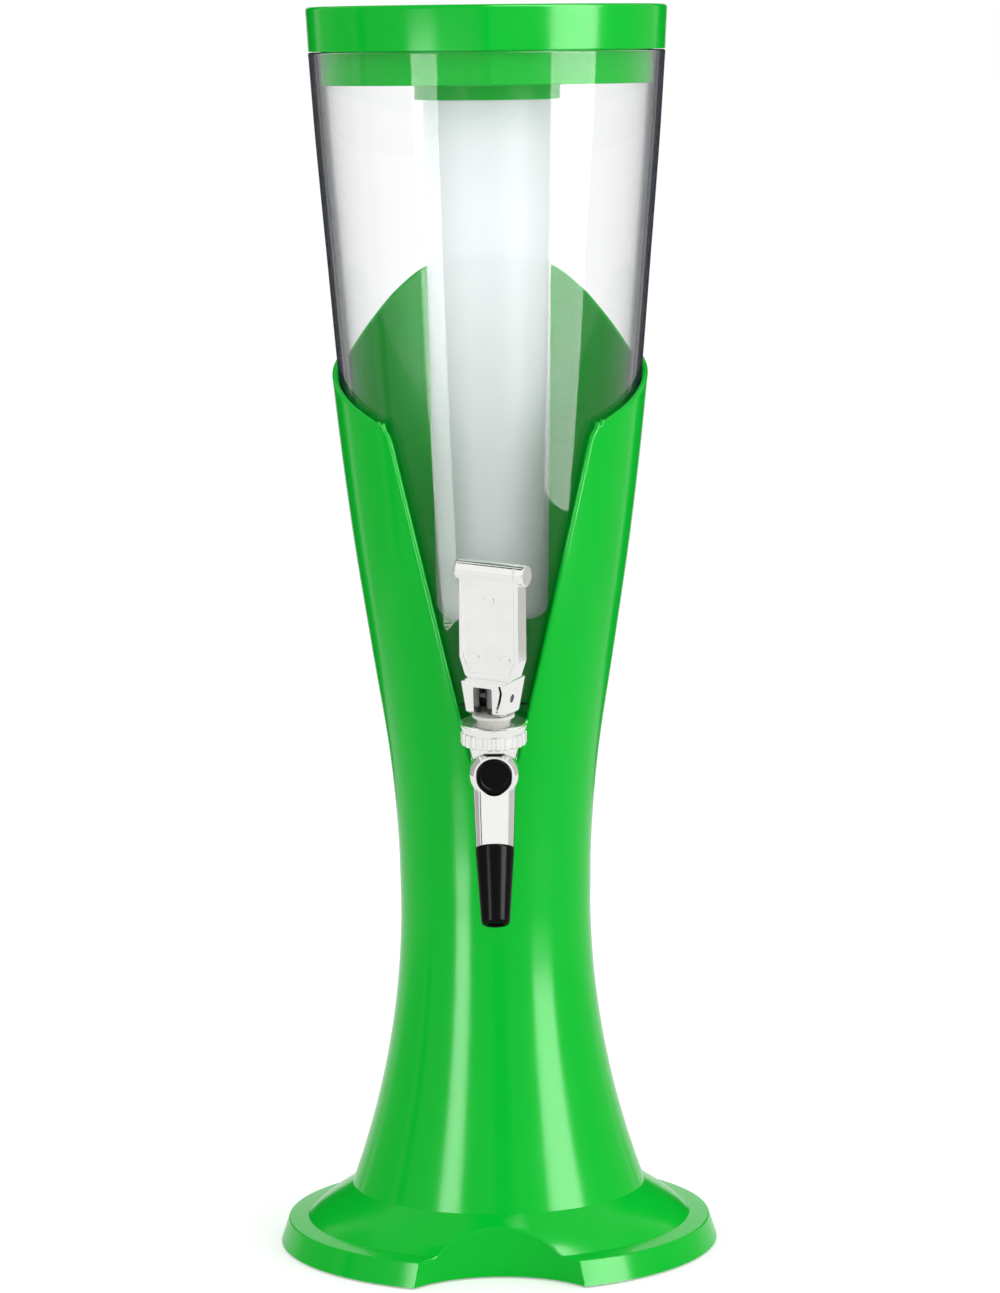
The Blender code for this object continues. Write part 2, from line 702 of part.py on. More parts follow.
def make_rubber_feet():
    """Four turned pads, each with a peg up into its boss."""
    outline = [
        (0, PAD_THICKNESS + PAD_PEG_LENGTH),
        (PAD_PEG_RADIUS, PAD_THICKNESS + PAD_PEG_LENGTH),
        (PAD_PEG_RADIUS, PAD_THICKNESS),
        (PAD_RADIUS, PAD_THICKNESS),
        (PAD_RADIUS, 0),
        (0, 0),
    ]
    for number, at in enumerate(pad_places(), 1):
        new_piece(f"rubber_foot_{number}", moved(turned(outline, SMALL_SIDES), at), black_rubber())


def tap_key():
    """Clear key on the tank that fills the bottom of the V and gives the tap a flat seat."""
    lean = v_lean()
    radius = V_RADIUS - KEY_V_CLEARANCE
    bottom = arc_points((0, 0), radius, -math.pi / 2, -lean, 6)
    top_width = v_half_width(SHANK_WALL_HEIGHT + KEY_RISE) - KEY_V_CLEARANCE
    right = bottom + [(top_width, KEY_RISE)]
    left = [(-x, z) for x, z in reversed(right) if x > 0]
    back = STEM_TO_WALL + TANK_WALL + 2 * TANK_CLEARANCE
    at = TAP_FRAME @ Matrix.Translation((0, (KEY_FACE + back) / 2, 0)) @ FRONT_VIEW
    return extruded(right + left, back - KEY_FACE, at)


def tank_rows(low):
    """The tank's levels from its rim down to a lowest one: the base's own levels, so that the two nest."""
    return [z for z in even_steps(RIM_HEIGHT, WAIST_HEIGHT, SKIN_ROWS) if z > low + OVERLAP] + [low]


def make_tank():
    """The clear vessel, with the tap's seat inside and out and the bore for its shank."""
    bottom = TANK_BOTTOM_HEIGHT
    corner = TANK_BOTTOM_CORNER
    floor = bottom + TANK_FLOOR
    outside = [(tank_radius(z), z) for z in tank_rows(bottom + corner)]
    centre = (outside[-1][0] - corner, bottom + corner)
    outside += arc_points(centre, corner, 0, -math.pi / 2, 3)[1:]
    inside = [(tank_radius(z) - TANK_WALL, z) for z in tank_rows(floor)]
    top = RIM_HEIGHT + CUT_OVERRUN
    solid = raise_keel(turned([(0, RIM_HEIGHT)] + outside + [(0, bottom)]))
    hollow = raise_keel(turned([(0, top), (inside[0][0], top)] + inside + [(0, floor)]))
    inner_boss = cylinder(INNER_BOSS_RADIUS, STEM_TO_WALL + OVERLAP, INNER_BOSS_FACE, at=SHANK_FRAME)
    mesh = cut(joined(solid, tap_key()), cut(hollow, inner_boss))
    bore_ends = (KEY_FACE - CUT_OVERRUN, INNER_BOSS_FACE + CUT_OVERRUN)
    bore = cylinder(SHANK_RADIUS + TOUCH_GAP, *bore_ends, at=SHANK_FRAME)
    new_piece("tank", cut(mesh, bore), clear_plastic())


def make_lid():
    """The cap with its skirt inside the tank, and the socket ring that holds the ice tube."""
    top = LID_TOP_HEIGHT
    band_bottom = RIM_HEIGHT + TOUCH_GAP
    plate = top - LID_DISH_DEPTH
    inner_top = plate - LID_PLATE
    dish = LID_TOP_RADIUS - LID_DISH_MARGIN
    edge_centre = (LID_TOP_RADIUS - LID_EDGE_ROUND, top - LID_EDGE_ROUND)
    outline = [(0, plate), (dish - LID_DISH_DEPTH, plate), (dish, top)]
    outline += arc_points(edge_centre, LID_EDGE_ROUND, math.pi / 2, 0, 2)
    outline += [(RIM_OUTER_RADIUS, band_bottom), (RIM_OUTER_RADIUS - LID_WALL, band_bottom)]
    outline += [(LID_TOP_RADIUS - LID_WALL, inner_top), (SKIRT_RADIUS, inner_top)]
    outline += [(SKIRT_RADIUS, SKIRT_BOTTOM_HEIGHT), (SKIRT_RADIUS - LID_WALL, SKIRT_BOTTOM_HEIGHT)]
    outline += [(SKIRT_RADIUS - LID_WALL, inner_top), (SOCKET_RADIUS, inner_top)]
    outline += [(SOCKET_RADIUS, SOCKET_BOTTOM_HEIGHT), (LEDGE_RADIUS, SOCKET_BOTTOM_HEIGHT)]
    outline += [(LEDGE_RADIUS, GROOVE_BOTTOM), (GROOVE_RADIUS, GROOVE_BOTTOM), (GROOVE_RADIUS, GROOVE_TOP)]
    outline += [(LEDGE_RADIUS, GROOVE_TOP + SOCKET_GROOVE_DEPTH), (LEDGE_RADIUS, inner_top), (0, inner_top)]
    body = raise_keel(turned(outline), least_radius=(SOCKET_RADIUS + SKIRT_RADIUS) / 2)
    notch_half_angle = LUG_HALF_ANGLE + LUG_NOTCH_MARGIN
    notch_first = LUG_FIRST_ANGLE + TWIST_TO_RELEASE
    low = SOCKET_BOTTOM_HEIGHT - CUT_OVERRUN
    notches = ring_sectors(GROOVE_RADIUS, low, GROOVE_BOTTOM + TOUCH_GAP, notch_half_angle, notch_first)
    new_piece("lid", cut(body, *notches), green_plastic())


def ring_sectors(radius, low, high, half_angle, first):
    """Wedges about Z, one for each lug of the ice tube."""
    wedges = []
    at = Matrix.Translation((0, 0, (low + high) / 2))
    for number in range(LUG_COUNT):
        middle = first + 2 * math.pi * number / LUG_COUNT
        outer = arc_points((0, 0), radius, middle - half_angle, middle + half_angle, 4)
        inner = arc_points((0, 0), LEDGE_RADIUS - OVERLAP, middle + half_angle, middle - half_angle, 4)
        wedges.append(extruded(outer + inner, high - low, at))
    return wedges


def ice_tube_radius(height):
    """Outside of the ice tube, a straight taper."""
    share = (height - TUBE_BOTTOM_HEIGHT) / TUBE_LENGTH
    return TUBE_BOTTOM_RADIUS + (TUBE_TOP_RADIUS - TUBE_BOTTOM_RADIUS) * share


def make_ice_tube():
    """A tapered tube with a round-edged bottom, open at the top, with three lugs for the lid's groove."""
    top = TUBE_TOP_HEIGHT
    bottom = TUBE_BOTTOM_HEIGHT
    centre = (ice_tube_radius(bottom + TUBE_CORNER) - TUBE_CORNER, bottom + TUBE_CORNER)
    outer_corner = arc_points(centre, TUBE_CORNER, 0, -math.pi / 2, 4)
    inner_corner = arc_points(centre, TUBE_CORNER - TUBE_WALL, 0, -math.pi / 2, 4)
    solid = turned([(0, top), (TUBE_TOP_RADIUS, top)] + outer_corner + [(0, bottom)], TUBE_SIDES)
    bore_radius = TUBE_TOP_RADIUS - TUBE_WALL
    mouth = [(0, top + CUT_OVERRUN), (bore_radius, top + CUT_OVERRUN), (bore_radius, top)]
    hollow = turned(mouth + inner_corner + [(0, bottom + TUBE_WALL)], TUBE_SIDES)
    lugs = ring_sectors(GROOVE_RADIUS - TOUCH_GAP, top - LUG_THICKNESS, top, LUG_HALF_ANGLE, LUG_FIRST_ANGLE)
    new_piece("ice_tube", cut(joined(solid, *lugs), hollow), frosted_plastic())


def barrel():
    """Barrel and spout of the tap in one bent taper."""
    spout = Vector((0, -math.sin(SPOUT_ANGLE), -math.cos(SPOUT_ANGLE)))
    bend = BARREL_RADIUS / 2
    points = [Vector((0, 0, BARREL_TOP)), Vector((0, 0, BARREL_TOP / 2)), Vector((0, 0, bend))]
    radii = [BARREL_TOP_RADIUS, (BARREL_TOP_RADIUS + BARREL_RADIUS) / 2, BARREL_RADIUS]
    for way in even_steps(0, 1, 4)[1:-1]:
        points.append(Vector((0, 0, bend)) * (1 - way) ** 2 + spout * bend * way**2)
        radii.append(BARREL_RADIUS)
    points += [spout * bend, spout * SPOUT_LENGTH]
    radii += [BARREL_RADIUS, SPOUT_END_RADIUS]
    return moved(tube(points, radii), TAP_FRAME)


def make_tap_body():
    """Barrel, spout and shank in one casting, bored through from the tank to the spigot."""
    neck = cylinder(NECK_RADIUS, BARREL_TOP - OVERLAP, NECK_TOP, at=TAP_FRAME)
    shank = cylinder(SHANK_RADIUS, 0, SHANK_END, at=SHANK_FRAME)
    flange_face = KEY_FACE - 2 * TOUCH_GAP - WASHER_THICKNESS
    flange = cylinder(FLANGE_RADIUS, flange_face - FLANGE_THICKNESS, flange_face, at=SHANK_FRAME)
    edge_centre = (BOSS_RADIUS - BOSS_EDGE_ROUND, BOSS_FACE - BOSS_EDGE_ROUND)
    boss_outline = [(0, BOSS_FACE)] + arc_points(edge_centre, BOSS_EDGE_ROUND, math.pi / 2, 0, 2)
    boss = moved(turned(boss_outline + [(BOSS_RADIUS, 0), (0, 0)], SMALL_SIDES), BOSS_FRAME)
    spigot_end = SPOUT_LENGTH + SPIGOT_LENGTH
    spigot = cylinder(SPIGOT_RADIUS, SPOUT_LENGTH - OVERLAP, spigot_end, at=SPOUT_FRAME)
    chamber = cylinder(CHAMBER_RADIUS, -SEAT_DEPTH, NECK_TOP + CUT_OVERRUN, at=TAP_FRAME)
    shank_bore = cylinder(SHANK_BORE_RADIUS, 0, SHANK_END + CUT_OVERRUN, at=SHANK_FRAME)
    outlet = cylinder(OUTLET_RADIUS, 0, spigot_end + CUT_OVERRUN, at=SPOUT_FRAME)
    pocket_floor = BOSS_FACE - PLUG_POCKET_DEPTH
    pocket = cylinder(PLUG_RADIUS + TOUCH_GAP, pocket_floor, BOSS_FACE + CUT_OVERRUN, at=BOSS_FRAME)
    mesh = joined(barrel(), neck, shank, flange, boss, spigot)
    new_piece("tap_body", cut(mesh, chamber, shank_bore, outlet, pocket), chrome())


def make_front_plug():
    """The dished plug in the front boss."""
    face = BOSS_FACE + PLUG_PROUD
    floor = face - PLUG_DISH_DEPTH
    back = BOSS_FACE - PLUG_POCKET_DEPTH + TOUCH_GAP
    dish = PLUG_RADIUS - PLUG_RIM
    outline = [(0, floor), (dish, floor), (dish + PLUG_DISH_DEPTH, face)]
    outline += [(PLUG_RADIUS - PLUG_DISH_DEPTH, face), (PLUG_RADIUS, floor), (PLUG_RADIUS, back), (0, back)]
    new_piece("front_plug", moved(turned(outline, SMALL_SIDES), BOSS_FRAME), black_plastic())


def make_nozzle():
    """The tapered nozzle, pushed over the spigot."""
    start = SPOUT_LENGTH + TOUCH_GAP
    end = start + NOZZLE_LENGTH
    step = SPOUT_LENGTH + SPIGOT_LENGTH + TOUCH_GAP
    socket = SPIGOT_RADIUS + TOUCH_GAP
    tip_centre = (NOZZLE_TIP_RADIUS - NOZZLE_TIP_ROUND, end - NOZZLE_TIP_ROUND)
    tip = arc_points(tip_centre, NOZZLE_TIP_ROUND, 0, math.pi / 2, 3)
    outline = [(SPOUT_END_RADIUS, start)] + tip
    outline += [(OUTLET_RADIUS, end), (OUTLET_RADIUS, step), (socket, step), (socket, start)]
    new_piece("spout_nozzle", moved(turned(outline, SMALL_SIDES), SPOUT_FRAME), black_plastic())


def make_ring(name, inner, outer, low, high, frame, finish):
    """A plain flat ring about the Z axis of a frame."""
    outline = [(outer, high), (outer, low), (inner, low), (inner, high)]
    new_piece(name, moved(turned(outline, SMALL_SIDES), frame), finish)


def make_tap_seals():
    """The washer on each side of the tank's wall, and the nut that pulls them together."""
    hole = SHANK_RADIUS + TOUCH_GAP
    back = KEY_FACE - TOUCH_GAP
    front = back - WASHER_THICKNESS
    make_ring("tap_outer_washer", hole, OUTER_WASHER_RADIUS, front, back, SHANK_FRAME, silicone())
    front = INNER_BOSS_FACE + TOUCH_GAP
    back = front + WASHER_THICKNESS
    make_ring("tap_inner_washer", hole, INNER_WASHER_RADIUS, front, back, SHANK_FRAME, silicone())
    nut_back = LOCK_NUT_FACE + LOCK_NUT_THICKNESS
    nut = cylinder(LOCK_NUT_RADIUS, LOCK_NUT_FACE, nut_back, sides=6, at=SHANK_FRAME)
    bore = cylinder(hole, LOCK_NUT_FACE - CUT_OVERRUN, nut_back + CUT_OVERRUN, at=SHANK_FRAME)
    new_piece("tap_lock_nut", cut(nut, bore), white_nylon())


def make_collar_nut():
    """The ribbed nut that holds the bonnet down on the neck."""
    bottom = BARREL_TOP + TOUCH_GAP
    rib_turn = 2 * math.pi / COLLAR_RIBS
    outline = []
    for number in range(COLLAR_RIBS):
        for along, cut_away in COLLAR_RIB_SHARES:
            angle = (number + along) * rib_turn
            reach = COLLAR_RADIUS - COLLAR_RIB_DEPTH * cut_away
            outline.append((reach * math.cos(angle), reach * math.sin(angle)))
    height = COLLAR_TOP - bottom
    body = extruded(outline, height, TAP_FRAME @ Matrix.Translation((0, 0, bottom + height / 2)))
    cavity = cylinder(NECK_RADIUS + TOUCH_GAP, bottom - CUT_OVERRUN, COLLAR_TOP - COLLAR_LIP, at=TAP_FRAME)
    hole = cylinder(BONNET_HUB_RADIUS + TOUCH_GAP, bottom, COLLAR_TOP + CUT_OVERRUN, at=TAP_FRAME)
    new_piece("collar_nut", cut(body, cavity, hole), chrome())


def make_bonnet():
    """The bush that guides the stem, with the sealing ring in its groove."""
    flange_bottom = NECK_TOP + TOUCH_GAP
    flange_top = flange_bottom + BONNET_FLANGE_THICKNESS
    neck = CHAMBER_RADIUS - TOUCH_GAP
    groove = neck - RING_GROOVE_DEPTH
    groove_low = BONNET_NECK_BOTTOM + RING_GROOVE_INSET
    groove_high = groove_low + 2 * RING_WIRE_RADIUS + 2 * TOUCH_GAP
    hole = STEM_RADIUS + TOUCH_GAP
    outline = [(hole, BONNET_TOP), (BONNET_HUB_RADIUS, BONNET_TOP), (BONNET_HUB_RADIUS, flange_top)]
    outline += [(NECK_RADIUS, flange_top), (NECK_RADIUS, flange_bottom), (neck, flange_bottom)]
    outline += [(neck, groove_high), (groove, groove_high), (groove, groove_low), (neck, groove_low)]
    outline += [(neck, BONNET_NECK_BOTTOM), (hole, BONNET_NECK_BOTTOM)]
    new_piece("bonnet", moved(turned(outline, SMALL_SIDES), TAP_FRAME), white_nylon())
    middle = (groove + TOUCH_GAP + RING_WIRE_RADIUS, (groove_low + groove_high) / 2)
    section = arc_points(middle, RING_WIRE_RADIUS, 0, -2 * math.pi, 8)[:-1]
    new_piece("bonnet_o_ring", moved(turned(section, SMALL_SIDES), TAP_FRAME), black_rubber())


def make_stem():
    """The valve rod with its rubber seat, and the spring that presses it shut."""
    flange_bottom = SEAT_TOP + TOUCH_GAP
    flange_top = flange_bottom + STEM_FLANGE_THICKNESS
    tip = flange_bottom - STEM_TIP_LENGTH
    head_bottom = PIN_HEIGHT - STEM_HEAD_BELOW_PIN
    head_top = PIN_HEIGHT + STEM_HEAD_ABOVE_PIN
    outline = [(0, head_top), (STEM_HEAD_RADIUS, head_top), (STEM_HEAD_RADIUS, head_bottom)]
    outline += [(STEM_RADIUS, head_bottom - STEM_HEAD_RADIUS / 2), (STEM_RADIUS, flange_top)]
    outline += [(STEM_FLANGE_RADIUS, flange_top), (STEM_FLANGE_RADIUS, flange_bottom)]
    outline += [(STEM_TIP_RADIUS, flange_bottom), (STEM_TIP_RADIUS, tip), (0, tip)]
    body = moved(turned(outline, SMALL_SIDES), LEVER_FRAME)
    pin_hole = cylinder(PIN_RADIUS + TOUCH_GAP, -FORK_WIDTH, FORK_WIDTH, PIN_SIDES, PIN_FRAME)
    new_piece("stem", cut(body, pin_hole), chrome())
    solid = cylinder(SEAT_RADIUS, SEAT_TOP - SEAT_THICKNESS, SEAT_TOP, at=LEVER_FRAME)
    socket = cylinder(STEM_TIP_RADIUS + TOUCH_GAP, tip - TOUCH_GAP, SEAT_TOP + CUT_OVERRUN, at=LEVER_FRAME)
    new_piece("stem_seat", cut(solid, socket), black_rubber())
    make_spring(flange_top + TOUCH_GAP, BONNET_NECK_BOTTOM - TOUCH_GAP)


def make_spring(low, high):
    """Compression spring round the stem, as one unbroken wire."""
    count = SPRING_TURNS * SPRING_POINTS_PER_TURN
    start = low + SPRING_WIRE_RADIUS
    rise = high - low - 2 * SPRING_WIRE_RADIUS
    points = []
    for i in range(count + 1):
        angle = 2 * math.pi * i / SPRING_POINTS_PER_TURN
        points.append(
            (SPRING_RADIUS * math.cos(angle), SPRING_RADIUS * math.sin(angle), start + rise * i / count)
        )
    pitch = rise / SPRING_TURNS
    print(f"spring: least gap between turns {(pitch - 2 * SPRING_WIRE_RADIUS) / MM:.2f} mm")
    wire = tube(points, [SPRING_WIRE_RADIUS] * len(points), sides=6)
    new_piece("stem_spring", moved(wire, TAP_FRAME), chrome())


def make_saddle_washer():
    """The turning washer that the lever's foot rolls on."""
    hole = STEM_RADIUS + TOUCH_GAP
    low = BONNET_TOP + TOUCH_GAP
    make_ring("saddle_washer", hole, SADDLE_RADIUS, low, SADDLE_TOP, LEVER_FRAME, white_nylon())


def make_lever_pin():
    """The pin through the fork and the stem's head."""
    pin = cylinder(PIN_RADIUS, -PIN_LENGTH / 2, PIN_LENGTH / 2, PIN_SIDES, PIN_FRAME)
    new_piece("lever_pin", pin, chrome())


def cam_outline():
    """Underside of the lever's foot, front to back, as (depth, height) points about the tap's origin.

    The cam curve touches the saddle through the whole swing, while the stem rises in step with the lever.
    """
    per_radian = STEM_LIFT / LEVER_SWING
    points = []
    for angle in even_steps(LEVER_SWING, 0, 8):
        reach = CAM_REACH + per_radian * angle
        depth = reach * math.sin(angle) + per_radian * math.cos(angle)
        drop = reach * math.cos(angle) - per_radian * math.sin(angle)
        points.append((-depth, PIN_HEIGHT - drop))
    return points + [(FOOT_BOTTOM_DEPTH / 2, PIN_HEIGHT - CAM_REACH)]


def lever_body():
    """Foot, blade and T-bar: the side view's outline where it meets the front view's, with the bar across.

    It is made about the lever's own axis, like its cutters, so that flat faces that meet stay exactly level.
    """
    side = cam_outline() + [(FOOT_TOP_DEPTH / 2, FOOT_TOP), (BLADE_THICKNESS / 2, FOOT_TOP)]
    side += [(BLADE_THICKNESS / 2, T_BAR_HEIGHT), (-BLADE_THICKNESS / 2, T_BAR_HEIGHT)]
    side += [(-BLADE_THICKNESS / 2, FOOT_TOP), (-FOOT_TOP_DEPTH / 2, FOOT_TOP)]
    front = [(FOOT_BOTTOM_WIDTH / 2, BONNET_TOP), (FOOT_TOP_WIDTH / 2, FOOT_TOP)]
    front += [(BLADE_NECK_WIDTH / 2, FOOT_TOP + BLADE_NECK_EDGE), (BLADE_WIDTH / 2, FOOT_TOP + BLADE_NECK_RISE)]
    front += [(BLADE_WIDTH / 2, T_BAR_HEIGHT)]
    side_solid = extruded(side, T_BAR_LENGTH, SIDE_VIEW)
    front_solid = extruded(both_sides(front), 2 * FOOT_TOP_DEPTH, FRONT_VIEW)
    bar_frame = Matrix.Translation((0, 0, T_BAR_HEIGHT)) @ Matrix.Rotation(math.pi / 2, 4, "Y")
    bar = cylinder(T_BAR_RADIUS, -T_BAR_LENGTH / 2, T_BAR_LENGTH / 2, at=bar_frame)
    return joined(kept(side_solid, front_solid), bar)


def both_sides(right):
    """An outline from its right half, bottom to top."""
    return right + [(-x, z) for x, z in reversed(right)]


def front_cutter(right, back):
    """Cuts an outline into the lever from the front, as deep as back."""
    front = -FOOT_TOP_DEPTH / 2 - CUT_OVERRUN
    at = Matrix.Translation((0, (front + back) / 2, 0)) @ FRONT_VIEW
    return extruded(both_sides(right), back - front, at)


def make_lever():
    """The lever, with its framed panel, the fork round the stem's head and the hole for the pin."""
    panel_width = BLADE_WIDTH / 2 - BLADE_FRAME
    panel_top = T_BAR_HEIGHT - T_BAR_RADIUS - BLADE_FRAME / 2
    panel = [(BLADE_NECK_WIDTH / 2 - BLADE_FRAME, FOOT_TOP + BLADE_FRAME)]
    panel += [(panel_width, FOOT_TOP + BLADE_NECK_RISE), (panel_width, panel_top)]
    fork = [(FORK_WIDTH / 2, BONNET_TOP - CUT_OVERRUN), (FORK_WIDTH / 2, PIN_HEIGHT + FORK_ABOVE_PIN)]
    panel_cutter = front_cutter(panel, BLADE_PANEL_DEPTH - BLADE_THICKNESS / 2)
    fork_cutter = front_cutter(fork, FORK_BACK)
    pin_hole = cylinder(PIN_RADIUS + TOUCH_GAP, -FOOT_TOP_WIDTH, FOOT_TOP_WIDTH, PIN_SIDES, PIN_IN_LEVER)
    lever = cut(lever_body(), panel_cutter, fork_cutter, pin_hole)
    new_piece("lever", moved(lever, LEVER_FRAME), chrome())


def main():
    """Build every piece of the tower."""
    clear_scene()
    make_base()
    make_rubber_feet()
    make_tank()
    make_lid()
    make_ice_tube()
    make_tap_body()
    make_front_plug()
    make_nozzle()
    make_tap_seals()
    make_collar_nut()
    make_bonnet()
    make_stem()
    make_saddle_washer()
    make_lever_pin()
    make_lever()


main()
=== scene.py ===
"""Looks of the beer tower dispenser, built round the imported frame.

Lengths are in metres and Z is up. The tap looks along -Y, and the origin is on the table under the middle
of the base. Every piece is modelled in place, so its own coordinates are the tower's.
"""

import sys
import logging
import math
from dataclasses import dataclass
from enum import Enum

import bmesh
import bpy
from mathutils import Matrix, Vector


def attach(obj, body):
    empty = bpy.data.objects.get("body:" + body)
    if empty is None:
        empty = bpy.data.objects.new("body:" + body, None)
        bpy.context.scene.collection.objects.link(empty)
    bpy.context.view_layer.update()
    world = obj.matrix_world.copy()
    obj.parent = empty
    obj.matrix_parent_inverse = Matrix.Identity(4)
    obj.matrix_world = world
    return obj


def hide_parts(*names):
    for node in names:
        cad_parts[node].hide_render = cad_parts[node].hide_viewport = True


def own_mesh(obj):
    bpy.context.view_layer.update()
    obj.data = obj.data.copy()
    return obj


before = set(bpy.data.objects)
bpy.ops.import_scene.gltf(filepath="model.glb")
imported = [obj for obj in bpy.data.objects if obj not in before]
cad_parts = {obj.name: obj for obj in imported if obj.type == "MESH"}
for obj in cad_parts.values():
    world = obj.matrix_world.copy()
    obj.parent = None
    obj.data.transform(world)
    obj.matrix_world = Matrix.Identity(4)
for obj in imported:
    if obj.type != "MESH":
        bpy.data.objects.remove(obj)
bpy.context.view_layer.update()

MM = 0.001
DEGREE = math.pi / 180
WELD = 0.002 * MM  # points closer than this are one
SHARP_ANGLE = 32 * DEGREE  # an edge bent by more than this is sharp
STRAIGHT_ANGLE = 0.02  # a corner bent by less than this isn't rounded
OVERRUN = 12 * MM  # how far a cutter runs past what it cuts
OVERLAP = 2 * MM  # how far joined solids reach into each other
TOUCH_GAP = 0.3 * MM  # gap between pieces that only touch
WHITE = (1, 1, 1, 1)

Outline = list[tuple[float, float]]
Shares = tuple[tuple[float, float], ...]
Colour = tuple[float, float, float]
Socket = bpy.types.NodeSocket

log = logging.getLogger("beer_tower")


class Slot(Enum):
    """Material slots of the record."""

    GREEN = "green_plastic"
    CLEAR = "clear_plastic"
    FROSTED = "frosted_plastic"
    CHROME = "chrome"
    STEEL = "steel"
    BLACK = "black_plastic"
    NYLON = "white_nylon"
    SILICONE = "silicone"
    RUBBER = "rubber"


class Body(Enum):
    """Bodies of the frame that carry the visible pieces."""

    BASE = "base"
    TANK = "tank"
    LID = "lid"
    ICE_TUBE = "ice_tube"
    LEVER = "lever"


class Step(Enum):
    """Ways to combine two solids."""

    JOIN = "UNION"
    CUT = "DIFFERENCE"
    SHARED = "INTERSECT"


class NodeSheet:
    """Adds and joins the nodes of one material, or of the room."""

    noise_low = 0.3
    noise_high = 0.7

    def __init__(self, owner: bpy.types.Material | bpy.types.World) -> None:
        """Empty the node tree of a material or a world.

        Args:
            owner: the material or the world.
        """
        owner.use_nodes = True
        self.owner = owner
        self.tree = owner.node_tree
        self.tree.nodes.clear()
        kind = "World" if isinstance(owner, bpy.types.World) else "Material"
        self.output = self.add("ShaderNodeOutput" + kind)
        self.place: Socket | None = None

    @classmethod
    def of_material(cls, name: str) -> "NodeSheet":
        """The sheet of a new material."""
        return cls(bpy.data.materials.new(name))

    def add(self, kind: str, **values: object) -> bpy.types.Node:
        """Add a node and set or join its inputs.

        Args:
            kind: Blender's name for the type of node.
            values: inputs by name, with an underscore for each space, each a value or a socket.

        Returns:
            The new node.
        """
        node = self.tree.nodes.new(kind)
        for name, value in values.items():
            socket = node.inputs[name.replace("_", " ")]
            if isinstance(value, Socket):
                self.tree.links.new(value, socket)
            else:
                socket.default_value = value
        return node

    def noise(self, scale: float, detail: float, stretch: Colour = (1, 1, 1)) -> Socket:
        """Noise over the piece.

        Args:
            scale: cells per metre.
            detail: octaves.
            stretch: scale along each axis.

        Returns:
            The noise's factor.
        """
        if self.place is None:
            self.place = self.add("ShaderNodeTexCoord").outputs["Object"]
        mapping = self.add("ShaderNodeMapping", Vector=self.place, Scale=stretch)
        texture = self.add("ShaderNodeTexNoise", Vector=mapping.outputs[0], Scale=scale, Detail=detail)
        return texture.outputs["Fac"]

    def spread(self, value: Socket, low: float, high: float) -> Socket:
        """Map the middle of a noise to a range.

        Args:
            value: the noise.
            low: result where the noise is low.
            high: result where it is high.

        Returns:
            The mapped value.
        """
        source = {"From_Min": self.noise_low, "From_Max": self.noise_high}
        return self.add("ShaderNodeMapRange", Value=value, To_Min=low, To_Max=high, **source).outputs[0]

    def blend(self, value: Socket, low: Colour, high: Colour) -> Socket:
        """Mix two colours by a value.

        Args:
            value: how much of the second colour.
            low: first colour.
            high: second colour.

        Returns:
            The mixed colour.
        """
        ramp = self.add("ShaderNodeValToRGB", Fac=value)
        first, second = ramp.color_ramp.elements
        first.position = self.noise_low
        second.position = self.noise_high
        first.color = (*low, 1)
        second.color = (*high, 1)
        return ramp.outputs[0]

    def bump(self, height: Socket, strength: float, depth: float) -> Socket:
        """Relief from a height.

        Args:
            height: the height, from 0 to 1.
            strength: how strongly it shows.
            depth: height of the relief in metres.

        Returns:
            The bent normal.
        """
        return self.add("ShaderNodeBump", Height=height, Strength=strength, Distance=depth).outputs[0]

    def calculated(self, operation: str, first: Socket, second: float | Socket) -> Socket:
        """Work out one value from two.

        Args:
            operation: Blender's name for what is done.
            first: first value.
            second: second value, a number or a socket.

        Returns:
            The result.
        """
        node = self.add("ShaderNodeMath", Value=first)
        node.operation = operation
        if isinstance(second, Socket):
            self.tree.links.new(second, node.inputs[1])
        else:
            node.inputs[1].default_value = second
        return node.outputs[0]

    def seen_by(self, levels: dict[str, float]) -> Socket:
        """Value by the kind of ray that arrives.

        Args:
            levels: value for each kind of ray, in the words of the Light Path node.

        Returns:
            The largest value among the kinds that the ray has, or else 0.
        """
        path = self.add("ShaderNodeLightPath").outputs
        values = [
            path[f"Is {kind} Ray"] if level == 1 else self.calculated("MULTIPLY", path[f"Is {kind} Ray"], level)
            for kind, level in levels.items()
        ]
        total = values[0]
        for value in values[1:]:
            total = self.calculated("MAXIMUM", total, value)
        return total

    def mix(self, share: float | Socket, first: bpy.types.Node, second: bpy.types.Node) -> bpy.types.Node:
        """Mix two shaders.

        Args:
            share: share of the second shader, a number or a socket.
            first: first shader.
            second: second shader.

        Returns:
            The mixed shader.
        """
        node = self.add("ShaderNodeMixShader", Fac=share)
        self.tree.links.new(first.outputs[0], node.inputs[1])
        self.tree.links.new(second.outputs[0], node.inputs[2])
        return node

    def lit_through(self, shader: bpy.types.Node, colour: Colour) -> bpy.types.Node:
        """Let the light that falls on other pieces pass through a see-through one.

        Args:
            shader: how the piece itself looks.
            colour: what it lets through.

        Returns:
            The mixed shader.
        """
        air = self.add("ShaderNodeBsdfTransparent", Color=(*colour, 1))
        return self.mix(self.seen_by({"Shadow": 1, "Diffuse": 1}), shader, air)

    def finish(self, shader: bpy.types.Node) -> bpy.types.Material | bpy.types.World:
        """Join the last shader to the output.

        Args:
            shader: the last shader.

        Returns:
            The finished material or world.
        """
        self.tree.links.new(shader.outputs[0], self.output.inputs["Surface"])
        return self.owner


def darker(colour: Colour, share: float) -> Colour:
    """A colour with every channel scaled by a share."""
    return (colour[0] * share, colour[1] * share, colour[2] * share)


